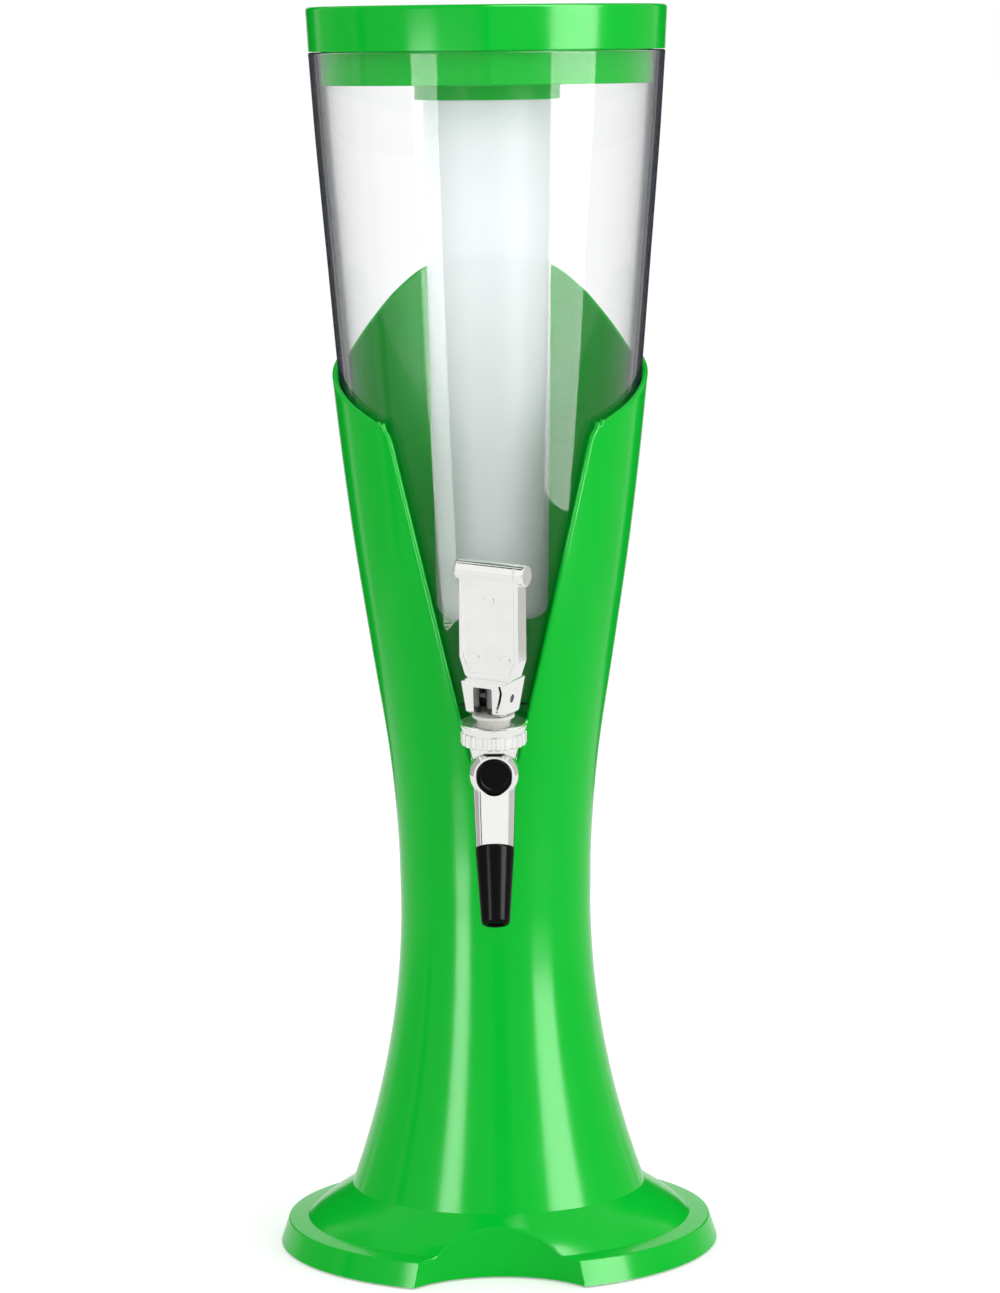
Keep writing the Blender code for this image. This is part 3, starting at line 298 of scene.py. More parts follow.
@dataclass(frozen=True)
class Moulded:
    """Opaque moulded plastic or rubber with a fine skin."""

    slot: Slot
    colour: Colour
    roughness: float
    roughness_spread: float
    specular: float
    skin_scale: float
    skin_depth: float
    skin_strength: float = 0.25
    cloud_scale: float = 14
    polish_scale: float = 60
    shade: float = 0.93

    def material(self) -> bpy.types.Material:
        """Build the finish.

        Returns:
            The material.
        """
        sheet = NodeSheet.of_material(self.slot.value)
        low = self.roughness - self.roughness_spread
        high = self.roughness + self.roughness_spread
        cloud = sheet.noise(self.cloud_scale, detail=3)
        skin = sheet.noise(self.skin_scale, detail=4)
        shader = sheet.add(
            "ShaderNodeBsdfPrincipled",
            Base_Color=sheet.blend(cloud, darker(self.colour, self.shade), self.colour),
            Roughness=sheet.spread(sheet.noise(self.polish_scale, detail=4), low, high),
            Specular_IOR_Level=self.specular,
            Normal=sheet.bump(skin, self.skin_strength, self.skin_depth),
        )
        return sheet.finish(shader)


@dataclass(frozen=True)
class Metal:
    """Plated or bare metal with a faint ripple."""

    slot: Slot
    colour: Colour
    roughness: float
    roughness_spread: float
    ripple_scale: float
    ripple_depth: float
    ripple_strength: float = 0.3
    cloud_scale: float = 90
    polish_scale: float = 220
    shade: float = 0.96

    def material(self) -> bpy.types.Material:
        """Build the finish.

        Returns:
            The material.
        """
        sheet = NodeSheet.of_material(self.slot.value)
        low = self.roughness - self.roughness_spread
        high = self.roughness + self.roughness_spread
        cloud = sheet.noise(self.cloud_scale, detail=3)
        ripple = sheet.noise(self.ripple_scale, detail=2)
        shader = sheet.add(
            "ShaderNodeBsdfPrincipled",
            Base_Color=sheet.blend(cloud, darker(self.colour, self.shade), self.colour),
            Metallic=1.0,
            Roughness=sheet.spread(sheet.noise(self.polish_scale, detail=4), low, high),
            Normal=sheet.bump(ripple, self.ripple_strength, self.ripple_depth),
        )
        return sheet.finish(shader)


@dataclass(frozen=True)
class Clear:
    """Clear moulded plastic, with painted shade that darkens it where its wall is seen edge on."""

    slot: Slot = Slot.CLEAR
    tint: Colour = (0.990, 0.993, 0.997)
    # painted edge shade: the dark colour that is mixed in where the wall is seen edge on
    edge: Colour = (0.012, 0.016, 0.024)
    painted_edge_shade_steps: Shares = (
        (0.10, 0.0),
        (0.35, 0.034),
        (0.48, 0.076),
        (0.57, 0.143),
        (0.64, 0.24),
        (0.70, 0.60),
        (0.76, 0.93),
    )
    shine: float = 0.4
    passing: Colour = (0.97, 0.975, 0.98)
    index: float = 1.35
    shade: float = 0.985
    cloud_scale: float = 9
    polish_scale: float = 30
    smoothest: float = 0.004
    roughest: float = 0.014
    wave_scale: float = 38
    wave_stretch: Colour = (1, 1, 0.3)
    wave_strength: float = 0.1
    wave_depth: float = 0.05 * MM

    def material(self) -> bpy.types.Material:
        """Build the finish.

        Returns:
            The material.
        """
        sheet = NodeSheet.of_material(self.slot.value)
        cloud = sheet.noise(self.cloud_scale, detail=2)
        polish = sheet.noise(self.polish_scale, detail=2)
        wave = sheet.noise(self.wave_scale, detail=2, stretch=self.wave_stretch)
        glass = sheet.add(
            "ShaderNodeBsdfPrincipled",
            Base_Color=sheet.blend(cloud, darker(self.tint, self.shade), self.tint),
            Roughness=sheet.spread(polish, self.smoothest, self.roughest),
            IOR=self.index,
            Transmission_Weight=1.0,
            Specular_Tint=(self.shine, self.shine, self.shine, 1),
            Normal=sheet.bump(wave, self.wave_strength, self.wave_depth),
        )
        # painted shade: a dark diffuse mixed in by facing, strongest where the wall is seen edge on
        dark = sheet.add("ShaderNodeBsdfDiffuse", Color=(*self.edge, 1))
        facing = sheet.add("ShaderNodeLayerWeight", Blend=0.5).outputs["Facing"]
        ramp = sheet.add("ShaderNodeValToRGB", Fac=facing)
        stops = ramp.color_ramp.elements
        stops.remove(stops[1])
        for place, share in self.painted_edge_shade_steps:
            stop = stops.new(place)
            stop.color = (share, share, share, 1)
        stops.remove(stops[0])
        with_painted_edge_shade = sheet.mix(ramp.outputs[0], glass, dark)
        return sheet.finish(sheet.lit_through(with_painted_edge_shade, self.passing))


@dataclass(frozen=True)
class Frosted:
    """Milky translucent plastic."""

    slot: Slot = Slot.FROSTED
    colour: Colour = (0.965, 0.975, 0.985)
    veil: float = 0.52
    through_share: float = 0.45
    passing: Colour = (0.99, 0.992, 0.995)
    between: Colour = (0.96, 0.98, 0.98)
    shade: float = 0.97
    specular: float = 0.15
    smoothest: float = 0.35
    roughest: float = 0.5
    cloud_scale: float = 18
    grain_scale: float = 520
    grain_strength: float = 0.3
    grain_depth: float = 0.05 * MM

    def material(self) -> bpy.types.Material:
        """Build the finish.

        Returns:
            The material.
        """
        sheet = NodeSheet.of_material(self.slot.value)
        grain = sheet.noise(self.grain_scale, detail=4)
        relief = sheet.bump(grain, self.grain_strength, self.grain_depth)
        cloud = sheet.noise(self.cloud_scale, detail=3)
        tone = sheet.blend(cloud, darker(self.colour, self.shade), self.colour)
        skin = sheet.add(
            "ShaderNodeBsdfPrincipled",
            Base_Color=tone,
            Roughness=sheet.spread(grain, self.smoothest, self.roughest),
            Specular_IOR_Level=self.specular,
            Normal=relief,
        )
        through = sheet.add("ShaderNodeBsdfTranslucent", Color=tone, Normal=relief)
        milky = sheet.mix(self.through_share, skin, through)
        clear = sheet.add("ShaderNodeBsdfTransparent", Color=(*self.between, 1))
        return sheet.finish(sheet.lit_through(sheet.mix(self.veil, clear, milky), self.passing))


FINISHES = (
    Moulded(
        slot=Slot.GREEN,
        colour=(0.0, 0.52, 0.03),
        roughness=0.16,
        roughness_spread=0.02,
        specular=0.13,
        skin_scale=900,
        skin_depth=0.02 * MM,
        shade=0.96,
    ),
    Moulded(
        slot=Slot.BLACK,
        colour=(0.005, 0.005, 0.0055),
        roughness=0.2,
        roughness_spread=0.04,
        specular=0.035,
        skin_scale=1400,
        skin_depth=0.02 * MM,
    ),
    Moulded(
        slot=Slot.NYLON,
        colour=(0.78, 0.78, 0.74),
        roughness=0.42,
        roughness_spread=0.05,
        specular=0.4,
        skin_scale=1100,
        skin_depth=0.03 * MM,
    ),
    Moulded(
        slot=Slot.SILICONE,
        colour=(0.70, 0.74, 0.74),
        roughness=0.5,
        roughness_spread=0.05,
        specular=0.3,
        skin_scale=800,
        skin_depth=0.03 * MM,
    ),
    Moulded(
        slot=Slot.RUBBER,
        colour=(0.02, 0.02, 0.021),
        roughness=0.7,
        roughness_spread=0.08,
        specular=0.25,
        skin_scale=1600,
        skin_depth=0.06 * MM,
        shade=0.8,
    ),
    Metal(
        slot=Slot.CHROME,
        colour=(0.90, 0.90, 0.88),
        roughness=0.10,
        roughness_spread=0.02,
        ripple_scale=180,
        ripple_depth=0.02 * MM,
    ),
    # dark steel: partly the metal's own tone, partly painted shade, darkened so the stem and pin in the lever's fork
    # window read dark
    Metal(
        slot=Slot.STEEL,
        colour=(0.20, 0.20, 0.20),
        roughness=0.24,
        roughness_spread=0.06,
        ripple_scale=700,
        ripple_depth=0.02 * MM,
    ),
    Clear(),
    Frosted(),
)


class Paints:
    """Every finish of the tower, built once and handed out by slot."""

    made: dict[Slot, bpy.types.Material] = {}

    @classmethod
    def get(cls, slot: Slot) -> bpy.types.Material:
        """The material of a slot, built when it is first asked for.

        Args:
            slot: the slot.

        Returns:
            Its material.
        """
        if slot not in cls.made:
            finish = next(one for one in FINISHES if one.slot is slot)
            cls.made[slot] = finish.material()
        return cls.made[slot]


def smooth_value(shares: Shares, at: float) -> float:
    """Read a smooth curve through share points.

    Args:
        shares: pairs of key and value, in the keys' order.
        at: the key to read at.

    Returns:
        The value there.
    """
    keys = [key for key, _ in shares]
    values = [value for _, value in shares]
    last = len(keys) - 1
    slopes = []
    for i in range(last + 1):
        before, after = max(i - 1, 0), min(i + 1, last)
        slopes.append((values[after] - values[before]) / (keys[after] - keys[before]))
    i = next((i for i in range(last) if at <= keys[i + 1]), last - 1)
    span = keys[i + 1] - keys[i]
    t = (at - keys[i]) / span
    start = (2 * t**3 - 3 * t**2 + 1) * values[i] + (t**3 - 2 * t**2 + t) * span * slopes[i]
    end = (3 * t**2 - 2 * t**3) * values[i + 1] + (t**3 - t**2) * span * slopes[i + 1]
    return start + end


def even_steps(low: float, high: float, count: int) -> list[float]:
    """Evenly spaced values from low to high, with both ends."""
    return [low + (high - low) * i / count for i in range(count + 1)]


def arc_points(centre: tuple[float, float], radius: float, start: float, end: float, count: int) -> Outline:
    """Points on an arc.

    Args:
        centre: its centre.
        radius: its radius.
        start: first angle.
        end: last angle.
        count: steps between them.

    Returns:
        The points, with both ends.
    """
    x, y = centre
    return [(x + radius * math.cos(a), y + radius * math.sin(a)) for a in even_steps(start, end, count)]


def rounded(corners: list[tuple[float, float, float]], steps: int = 4, closed: bool = False) -> Outline:
    """An outline with its corners rounded.

    Args:
        corners: each corner's x, y and radius.
        steps: facets of each arc.
        closed: whether the last corner joins the first.

    Returns:
        The outline's points.
    """
    points: Outline = []
    count = len(corners)
    for i, (x, y, radius) in enumerate(corners):
        here = Vector((x, y))
        at_end = not closed and i in (0, count - 1)
        if radius <= 0 or at_end:
            points.append((x, y))
            continue
        before = (Vector(corners[i - 1][:2]) - here).normalized()
        after = (Vector(corners[(i + 1) % count][:2]) - here).normalized()
        half = before.angle(after) / 2
        if half > math.pi / 2 - STRAIGHT_ANGLE:
            points.append((x, y))
            continue
        centre = here + (before + after).normalized() * radius / math.sin(half)
        start = here + before * radius / math.tan(half) - centre
        turn = math.pi - 2 * half
        sign = 1 if before.x * after.y - before.y * after.x < 0 else -1
        first = math.atan2(start.y, start.x)
        points += arc_points(tuple(centre), radius, first, first + sign * turn, steps)
    return points


def ring_mesh(name: str, rings: list[list[Vector]], capped: bool = False) -> bpy.types.Mesh:
    """Skin a stack of closed rings of equal count.

    Args:
        name: name of the mesh.
        rings: the rings, in order.
        capped: fill the first and the last ring, or else join the last ring to the first.

    Returns:
        The mesh, with double points merged and its faces pointing out.
    """
    count = len(rings[0])
    vertices = [point for ring in rings for point in ring]
    faces = []
    spans = len(rings) - 1 if capped else len(rings)
    for row in range(spans):
        low, high = row * count, (row + 1) % len(rings) * count
        for i in range(count):
            j = (i + 1) % count
            faces.append((low + i, low + j, high + j, high + i))
    if capped:
        faces.append(tuple(range(count)))
        faces.append(tuple(range((len(rings) - 1) * count, len(rings) * count)))
    mesh = bpy.data.meshes.new(name)
    mesh.from_pydata(vertices, [], faces)
    return tidied(mesh)


def tidied(mesh: bpy.types.Mesh) -> bpy.types.Mesh:
    """Merge double points, drop flat faces and point every face out.

    Args:
        mesh: the mesh, which is changed.

    Returns:
        The same mesh.
    """
    work = bmesh.new()
    work.from_mesh(mesh)
    bmesh.ops.remove_doubles(work, verts=work.verts, dist=WELD)
    bmesh.ops.dissolve_degenerate(work, edges=work.edges, dist=WELD)
    bmesh.ops.recalc_face_normals(work, faces=work.faces)
    work.to_mesh(mesh)
    work.free()
    return mesh


def turned(name: str, outline: Outline, sides: int, at: Matrix = Matrix.Identity(4)) -> bpy.types.Mesh:
    """Turn an outline of (radius, height) points about Z.

    Args:
        name: name of the mesh.
        outline: the points; a solid where it starts and ends on the axis, or else a ring.
        sides: facets round the axis.
        at: frame of the axis.

    Returns:
        The mesh.
    """
    angles = [2 * math.pi * i / sides for i in range(sides)]
    rings = []
    for radius, height in outline:
        rings.append([at @ Vector((radius * math.sin(a), -radius * math.cos(a), height)) for a in angles])
    solid = outline[0][0] == 0 and outline[-1][0] == 0
    if solid:
        rings = rings[1:-1]
    return ring_mesh(name, rings, capped=solid)


def extruded(name: str, outline: Outline, low: float, high: float, at: Matrix) -> bpy.types.Mesh:
    """A flat outline drawn out along Z of a frame.

    Args:
        name: name of the mesh.
        outline: its (x, y) points.
        low: where it starts.
        high: where it ends.
        at: the frame.

    Returns:
        The mesh.
    """
    rings = [[at @ Vector((x, y, z)) for x, y in outline] for z in (low, high)]
    return ring_mesh(name, rings, capped=True)


def combined(base: bpy.types.Mesh, others: list[bpy.types.Mesh], way: Step) -> bpy.types.Mesh:
    """Combine a mesh with others, one after another.

    Args:
        base: the mesh to start from.
        others: the meshes to join to it or cut from it.
        way: what is done with each.

    Returns:
        The resulting mesh.
    """
    for other in others:
        item = linked("work", base)
        tool = linked("tool", other)
        step = item.modifiers.new("step", "BOOLEAN")
        step.operation = way.value
        step.solver = "EXACT"
        step.object = tool
        base = baked(item)
        bpy.data.objects.remove(tool)
    return base


def linked(name: str, data: bpy.types.ID) -> bpy.types.Object:
    """Put a mesh, a lamp or a camera into the scene.

    Args:
        name: name of the object.
        data: what the object holds.

    Returns:
        The object.
    """
    item = bpy.data.objects.new(name, data)
    bpy.context.scene.collection.objects.link(item)
    return item


def baked(item: bpy.types.Object) -> bpy.types.Mesh:
    """Apply the modifiers of an object and remove it.

    Args:
        item: the object.

    Returns:
        Its mesh with the modifiers applied.
    """
    bpy.context.view_layer.update()
    graph = bpy.context.evaluated_depsgraph_get()
    mesh = bpy.data.meshes.new_from_object(item.evaluated_get(graph))
    bpy.data.objects.remove(item)
    return tidied(mesh)


def soft_edges(mesh: bpy.types.Mesh, width: float, segments: int = 2) -> bpy.types.Mesh:
    """Round every sharp edge of a mesh.

    Args:
        mesh: the mesh.
        width: width of the rounding.
        segments: facets of the rounding.

    Returns:
        The rounded mesh.
    """
    item = linked("work", mesh)
    step = item.modifiers.new("edges", "BEVEL")
    step.width = width
    step.segments = segments
    step.limit_method = "ANGLE"
    step.angle_limit = SHARP_ANGLE
    step.miter_outer = "MITER_ARC"
    return baked(item)


def flat_card(name: str, corners: list[Vector]) -> bpy.types.Mesh:
    """One flat face through four corners.

    Args:
        name: name of the mesh.
        corners: the corners, in order.

    Returns:
        The mesh.
    """
    mesh = bpy.data.meshes.new(name)
    mesh.from_pydata(corners, [], [(0, 1, 2, 3)])
    return mesh


def piece(
    name: str, mesh: bpy.types.Mesh, slot: Slot, body: Body, replaced: tuple[str, ...] = ()
) -> bpy.types.Object:
    """Seat a finished mesh on its body and dress it.

    Args:
        name: name of the piece.
        mesh: its mesh, in place.
        slot: its material slot.
        body: the body that it rides on.
        replaced: CAD nodes that it stands for.

    Returns:
        The piece.
    """
    item = linked(name, mesh)
    mesh.name = name
    mesh.materials.clear()
    mesh.materials.append(Paints.get(slot))
    mesh.shade_smooth()
    mesh.set_sharp_from_angle(angle=SHARP_ANGLE)
    weighted = item.modifiers.new("normals", "WEIGHTED_NORMAL")
    weighted.keep_sharp = True
    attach(item, body.value)
    Reach.take(item, slot)
    if replaced:
        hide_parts(*replaced)
    log.info("%s: %d faces on %s", name, len(mesh.polygons), body.value)
    return item


@dataclass(frozen=True)
class Silhouette:
    """The common profile that the base and the tank share."""

    foot_radius: float = 101.4 * MM
    foot_draft: float = 3.4 * MM
    stand_off: float = 0.8 * MM
    foot_rim_height: float = 11.8 * MM
    band_width: float = 9.2 * MM
    band_rise: float = 0.7 * MM
    flare_rise: float = 15.3 * MM
    crease_radius: float = 67.8 * MM
    waist_radius: float = 43.8 * MM
    waist_height: float = 160 * MM
    base_wall: float = 2.4 * MM
    tank_wall: float = 3.0 * MM
    tank_clearance: float = 0.5 * MM
    rim_radius: float = 80.8 * MM
    rim_height: float = 549.6 * MM
    flare_shares: Shares = (
        (0.0, 0.0),
        (0.08, 0.02),
        (0.18, 0.11),
        (0.30, 0.293),
        (0.44, 0.498),
        (0.60, 0.683),
        (0.77, 0.827),
        (0.90, 0.932),
        (1.0, 1.0),
    )
    foot_rise_shares: Shares = ((0.0, 0.0), (0.22, 0.27), (0.56, 0.61), (1.0, 1.0))
    keel_half_angle: float = 15 * DEGREE
    keel_length: float = 78 * MM
    keel_round: float = 0.5 * DEGREE
    lean_step: float = 0.5 * MM

    @property
    def foot_rim_radius(self) -> float:
        """Radius of the foot's upper edge."""
        return self.foot_radius - self.foot_draft

    @property
    def band_radius(self) -> float:
        """Inner radius of the flat band round the foot."""
        return self.foot_rim_radius - self.band_width

    @property
    def band_height(self) -> float:
        """Height of the band's inner edge."""
        return self.foot_rim_height + self.band_rise

    @property
    def crease_height(self) -> float:
        """Height of the crease where the foot begins."""
        return self.band_height + self.flare_rise

    def skin(self, height: float) -> float:
        """Outer radius of the base above its crease.

        Args:
            height: where it is read.

        Returns:
            The radius there.
        """
        if height < self.waist_height:
            share = (self.waist_height - height) / (self.waist_height - self.crease_height)
            return self.waist_radius + (self.crease_radius - self.waist_radius) * share**2
        top = self.rim_radius + self.tank_clearance + self.base_wall
        share = (height - self.waist_height) / (self.rim_height - self.waist_height)
        return self.waist_radius + (top - self.waist_radius) * smooth_value(self.flare_shares, share)

    def tank(self, height: float) -> float:
        """Outer radius of the tank at a height."""
        return self.skin(height) - self.base_wall - self.tank_clearance

    def lean(self, height: float) -> Vector:
        """Which way the skin of the base faces.

        Args:
            height: where it is read.

        Returns:
            The outward normal there, as (radius, height).
        """
        step = self.lean_step
        slope = (self.skin(height + step) - self.skin(height - step)) / (2 * step)
        return Vector((1, -slope)).normalized()

    def foot_top(self, radius: float) -> float:
        """Height of the foot's upper side.

        Args:
            radius: where it is read, outside the crease.

        Returns:
            The height there.
        """
        if radius >= self.band_radius:
            share = (self.foot_rim_radius - radius) / self.band_width
            return self.foot_rim_height + self.band_rise * share
        share = (self.band_radius - radius) / (self.band_radius - self.crease_radius)
        return self.band_height + self.flare_rise * smooth_value(self.foot_rise_shares, share)

    def keel(self, point: Vector, least_radius: float = 0.0) -> Vector:
        """Draw a point out to the two flats of the keel down the tower's front.

        Args:
            point: the point on a round piece.
            least_radius: points inside this radius stay.

        Returns:
            The point on the keeled piece.
        """
        angle = abs(math.atan2(point.x, -point.y))
        if angle >= self.keel_half_angle or math.hypot(point.x, point.y) <= least_radius:
            return point
        soft = math.sqrt(angle**2 + self.keel_round**2)
        grown = 1 / math.cos(max(self.keel_half_angle - soft, 0))
        share = min(max(1 - (self.rim_height - point.z) / self.keel_length, 0), 1)
        factor = 1 + (grown - 1) * share
        return Vector((point.x * factor, point.y * factor, point.z))

    def keeled(self, mesh: bpy.types.Mesh, least_radius: float = 0.0) -> bpy.types.Mesh:
        """Give a turned mesh its keel.

        Args:
            mesh: the mesh, which is changed.
            least_radius: points inside this radius stay.

        Returns:
            The same mesh.
        """
        for vertex in mesh.vertices:
            vertex.co = self.keel(vertex.co.copy(), least_radius)
        return mesh


SHAPE = Silhouette()


@dataclass
class PhotoCamera:
    """Camera at the photograph's place, from the fit of the tower's ellipses."""

    image_height: float = 1293
    focal_pixels: float = 4720
    distance: float = 2151.65 * MM
    height: float = 555.45 * MM
    aside: float = 3.2 * MM
    tilt: float = 7.35 * DEGREE
    roll: float = -0.6 * DEGREE
    sensor: float = 24
    view_depth: float = 100

    def build(self) -> None:
        """Make the camera and use it."""
        data = bpy.data.cameras.new("photo_camera")
        data.sensor_fit = "VERTICAL"
        data.sensor_height = self.sensor
        data.lens = self.focal_pixels / self.image_height * self.sensor
        data.clip_end = self.view_depth
        camera = linked("photo_camera", data)
        place = Matrix.Translation((self.aside, -self.distance, self.height))
        turn = Matrix.Rotation(math.pi / 2 - self.tilt, 4, "X") @ Matrix.Rotation(self.roll, 4, "Z")
        camera.matrix_world = place @ turn
        bpy.context.scene.camera = camera


class Reach:
    """Which pieces a lamp lights, where it does not light them all."""

    kept: dict[tuple[Slot, ...], bpy.types.Collection] = {}

    @classmethod
    def collection(cls, slots: tuple[Slot, ...]) -> bpy.types.Collection:
        """The collection of the pieces in some slots.

        Args:
            slots: the slots.

        Returns:
            The collection, which the pieces join as they are made.
        """
        if slots not in cls.kept:
            cls.kept[slots] = bpy.data.collections.new("lit_" + "_".join(slot.value for slot in slots))
        return cls.kept[slots]

    @classmethod
    def take(cls, item: bpy.types.Object, slot: Slot) -> None:
        """Add a piece to every collection that has its slot.

        Args:
            item: the piece.
            slot: its slot.
        """
        for slots, collection in cls.kept.items():
            if slot in slots:
                collection.objects.link(item)


PLASTICS = (Slot.GREEN, Slot.CLEAR, Slot.FROSTED, Slot.BLACK)


@dataclass(frozen=True)
class Lamp:
    """One soft box, aimed at a height on the tower's axis."""

    name: str
    azimuth: float
    distance: float
    middle: float
    width: float
    tall: float
    radiance: float
    mirror_only: bool = False
    lit: tuple[Slot, ...] = ()
    highest_aim: float = 0.3

    def build(self) -> None:
        """Hang the soft box."""
        data = bpy.data.lights.new(self.name, "AREA")
        data.shape = "RECTANGLE"
        data.size = self.width
        data.size_y = self.tall
        data.energy = self.radiance * self.width * self.tall * math.pi
        lamp = linked(self.name, data)
        place = Vector((math.sin(self.azimuth), -math.cos(self.azimuth), 0)) * self.distance
        lamp.location = place + Vector((0, 0, self.middle))
        aim = Vector((0, 0, min(self.middle, self.highest_aim))) - lamp.location
        lamp.rotation_euler = aim.to_track_quat("-Z", "Y").to_euler()
        lamp.visible_camera = False
        lamp.visible_transmission = False
        lamp.visible_diffuse = not self.mirror_only
        lamp.visible_glossy = self.mirror_only
        if self.lit:
            lamp.light_linking.receiver_collection = Reach.collection(self.lit)


@dataclass(frozen=True)
class Flag:
    """One dark card that only shows in glossy things, to give the chrome its lines."""

    name: str
    azimuth: float
    distance: float
    middle: float
    width: float
    tall: float
    tilt: float = 0.0
    level: float = 0.01
    felt: Colour = (1.0, 0.98, 0.94)
    felt_scale: float = 40
    felt_shade: float = 0.97

    def build(self) -> None:
        """Stand the card in the studio."""
        at = Matrix.Rotation(self.azimuth, 4, "Z") @ Matrix.Translation((0, -self.distance, self.middle))
        at = at @ Matrix.Rotation(self.tilt, 4, "X")
        x, z = self.width / 2, self.tall / 2
        corners = [at @ Vector(corner) for corner in ((-x, 0, -z), (x, 0, -z), (x, 0, z), (-x, 0, z))]
        mesh = flat_card(self.name, corners)
        sheet = NodeSheet.of_material(self.name)
        tone = darker(self.felt, self.level)
        felt = sheet.blend(sheet.noise(self.felt_scale, detail=2), darker(tone, self.felt_shade), tone)
        mesh.materials.append(sheet.finish(sheet.add("ShaderNodeEmission", Color=felt, Strength=1.0)))
        card = linked(self.name, mesh)
        card.visible_camera = False
        card.visible_diffuse = False
        card.visible_transmission = False
        card.visible_shadow = False


@dataclass
class Studio:
    """White table and backdrop with plain soft light."""

    table_size: float = 40.0
    table_colour: Colour = (0.78, 0.78, 0.78)
    table_shade: float = 0.99
    table_scale: float = 3
    table_glow: float = 0.37
    mirrored_glow: float = 0.17
    world_level: float = 0.85
    lamps: tuple[Lamp, ...] = (
        Lamp(
            name="right_box",
            azimuth=55 * DEGREE,
            distance=0.60,
            middle=0.62,
            width=0.38,
            tall=1.24,
            radiance=24.0,
            mirror_only=True,
            lit=PLASTICS,
        ),
        Lamp(
            name="left_box",
            azimuth=-39 * DEGREE,
            distance=0.70,
            middle=0.25,
            width=0.20,
            tall=0.48,
            radiance=24.0,
            mirror_only=True,
            lit=PLASTICS,
        ),
        Lamp("right_fill", azimuth=50 * DEGREE, distance=1.8, middle=0.6, width=1.2, tall=1.4, radiance=2.2),
        Lamp("left_fill", azimuth=-60 * DEGREE, distance=2.0, middle=0.6, width=1.2, tall=1.2, radiance=0.7),
        Lamp("back_fill", azimuth=180 * DEGREE, distance=2.2, middle=1.3, width=1.6, tall=1.2, radiance=1.0),
        Lamp("tube_fill", azimuth=0, distance=1.8, middle=0.8, width=1.2, tall=1.2, radiance=4.0, lit=(Slot.FROSTED,)),
    )
    flags: tuple[Flag, ...] = (
        Flag("left_flag", azimuth=-150 * DEGREE, distance=1.1, middle=0.5, width=0.50, tall=1.3),
        Flag("right_flag", azimuth=150 * DEGREE, distance=1.1, middle=0.5, width=0.50, tall=1.3),
        Flag("left_grey", azimuth=-112 * DEGREE, distance=1.1, middle=0.5, width=0.70, tall=1.3, level=0.45),
        Flag("right_grey", azimuth=108 * DEGREE, distance=1.1, middle=0.5, width=0.90, tall=1.3, level=0.62),
        Flag("front_grey", azimuth=4 * DEGREE, distance=1.3, middle=0.35, width=0.34, tall=0.8, level=0.12),
        Flag("left_line", azimuth=-84 * DEGREE, distance=1.1, middle=0.5, width=0.12, tall=1.3),
        Flag("over_flag", azimuth=0, distance=0.2, middle=1.6, width=1.6, tall=0.36, tilt=90 * DEGREE),
        Flag(
            name="back_flag",
            azimuth=180 * DEGREE,
            distance=0.95,
            middle=1.25,
            width=1.2,
            tall=0.7,
            tilt=-45 * DEGREE,
            level=0.2,
        ),
    )

    def build_table(self) -> None:
        """Lay the table, which keeps the tower's shadow and looks white from afar, in mirrors and through glass."""
        half = self.table_size / 2
        mesh = flat_card("table", [(-half, -half, 0), (half, -half, 0), (half, half, 0), (-half, half, 0)])
        sheet = NodeSheet.of_material("table")
        cloud = sheet.noise(self.table_scale, detail=2)
        tone = sheet.blend(cloud, darker(self.table_colour, self.table_shade), self.table_colour)
        matt = sheet.add("ShaderNodeBsdfDiffuse", Color=tone)
        levels = {"Camera": self.table_glow, "Transmission": self.table_glow, "Glossy": self.mirrored_glow}
        glow = sheet.add("ShaderNodeEmission", Strength=sheet.seen_by(levels))
        both = sheet.add("ShaderNodeAddShader")
        sheet.tree.links.new(matt.outputs[0], both.inputs[0])
        sheet.tree.links.new(glow.outputs[0], both.inputs[1])
        mesh.materials.append(sheet.finish(both))
        linked("table", mesh)

    def build_world(self) -> None:
        """Fill the room with light, and show it white."""
        world = bpy.data.worlds.new("room")
        bpy.context.scene.world = world
        sheet = NodeSheet(world)
        lighting = sheet.add("ShaderNodeBackground", Color=WHITE, Strength=self.world_level)
        white = sheet.add("ShaderNodeBackground", Color=WHITE, Strength=1.0)
        seen = sheet.seen_by({"Camera": 1, "Glossy": 1, "Transmission": 1})
        sheet.finish(sheet.mix(seen, lighting, white))

    def build(self) -> None:
        """Set up the table, the room and the lamps."""
        bpy.context.scene.view_settings.view_transform = "Standard"
        self.build_world()
        self.build_table()
        for item in self.lamps + self.flags:
            item.build()


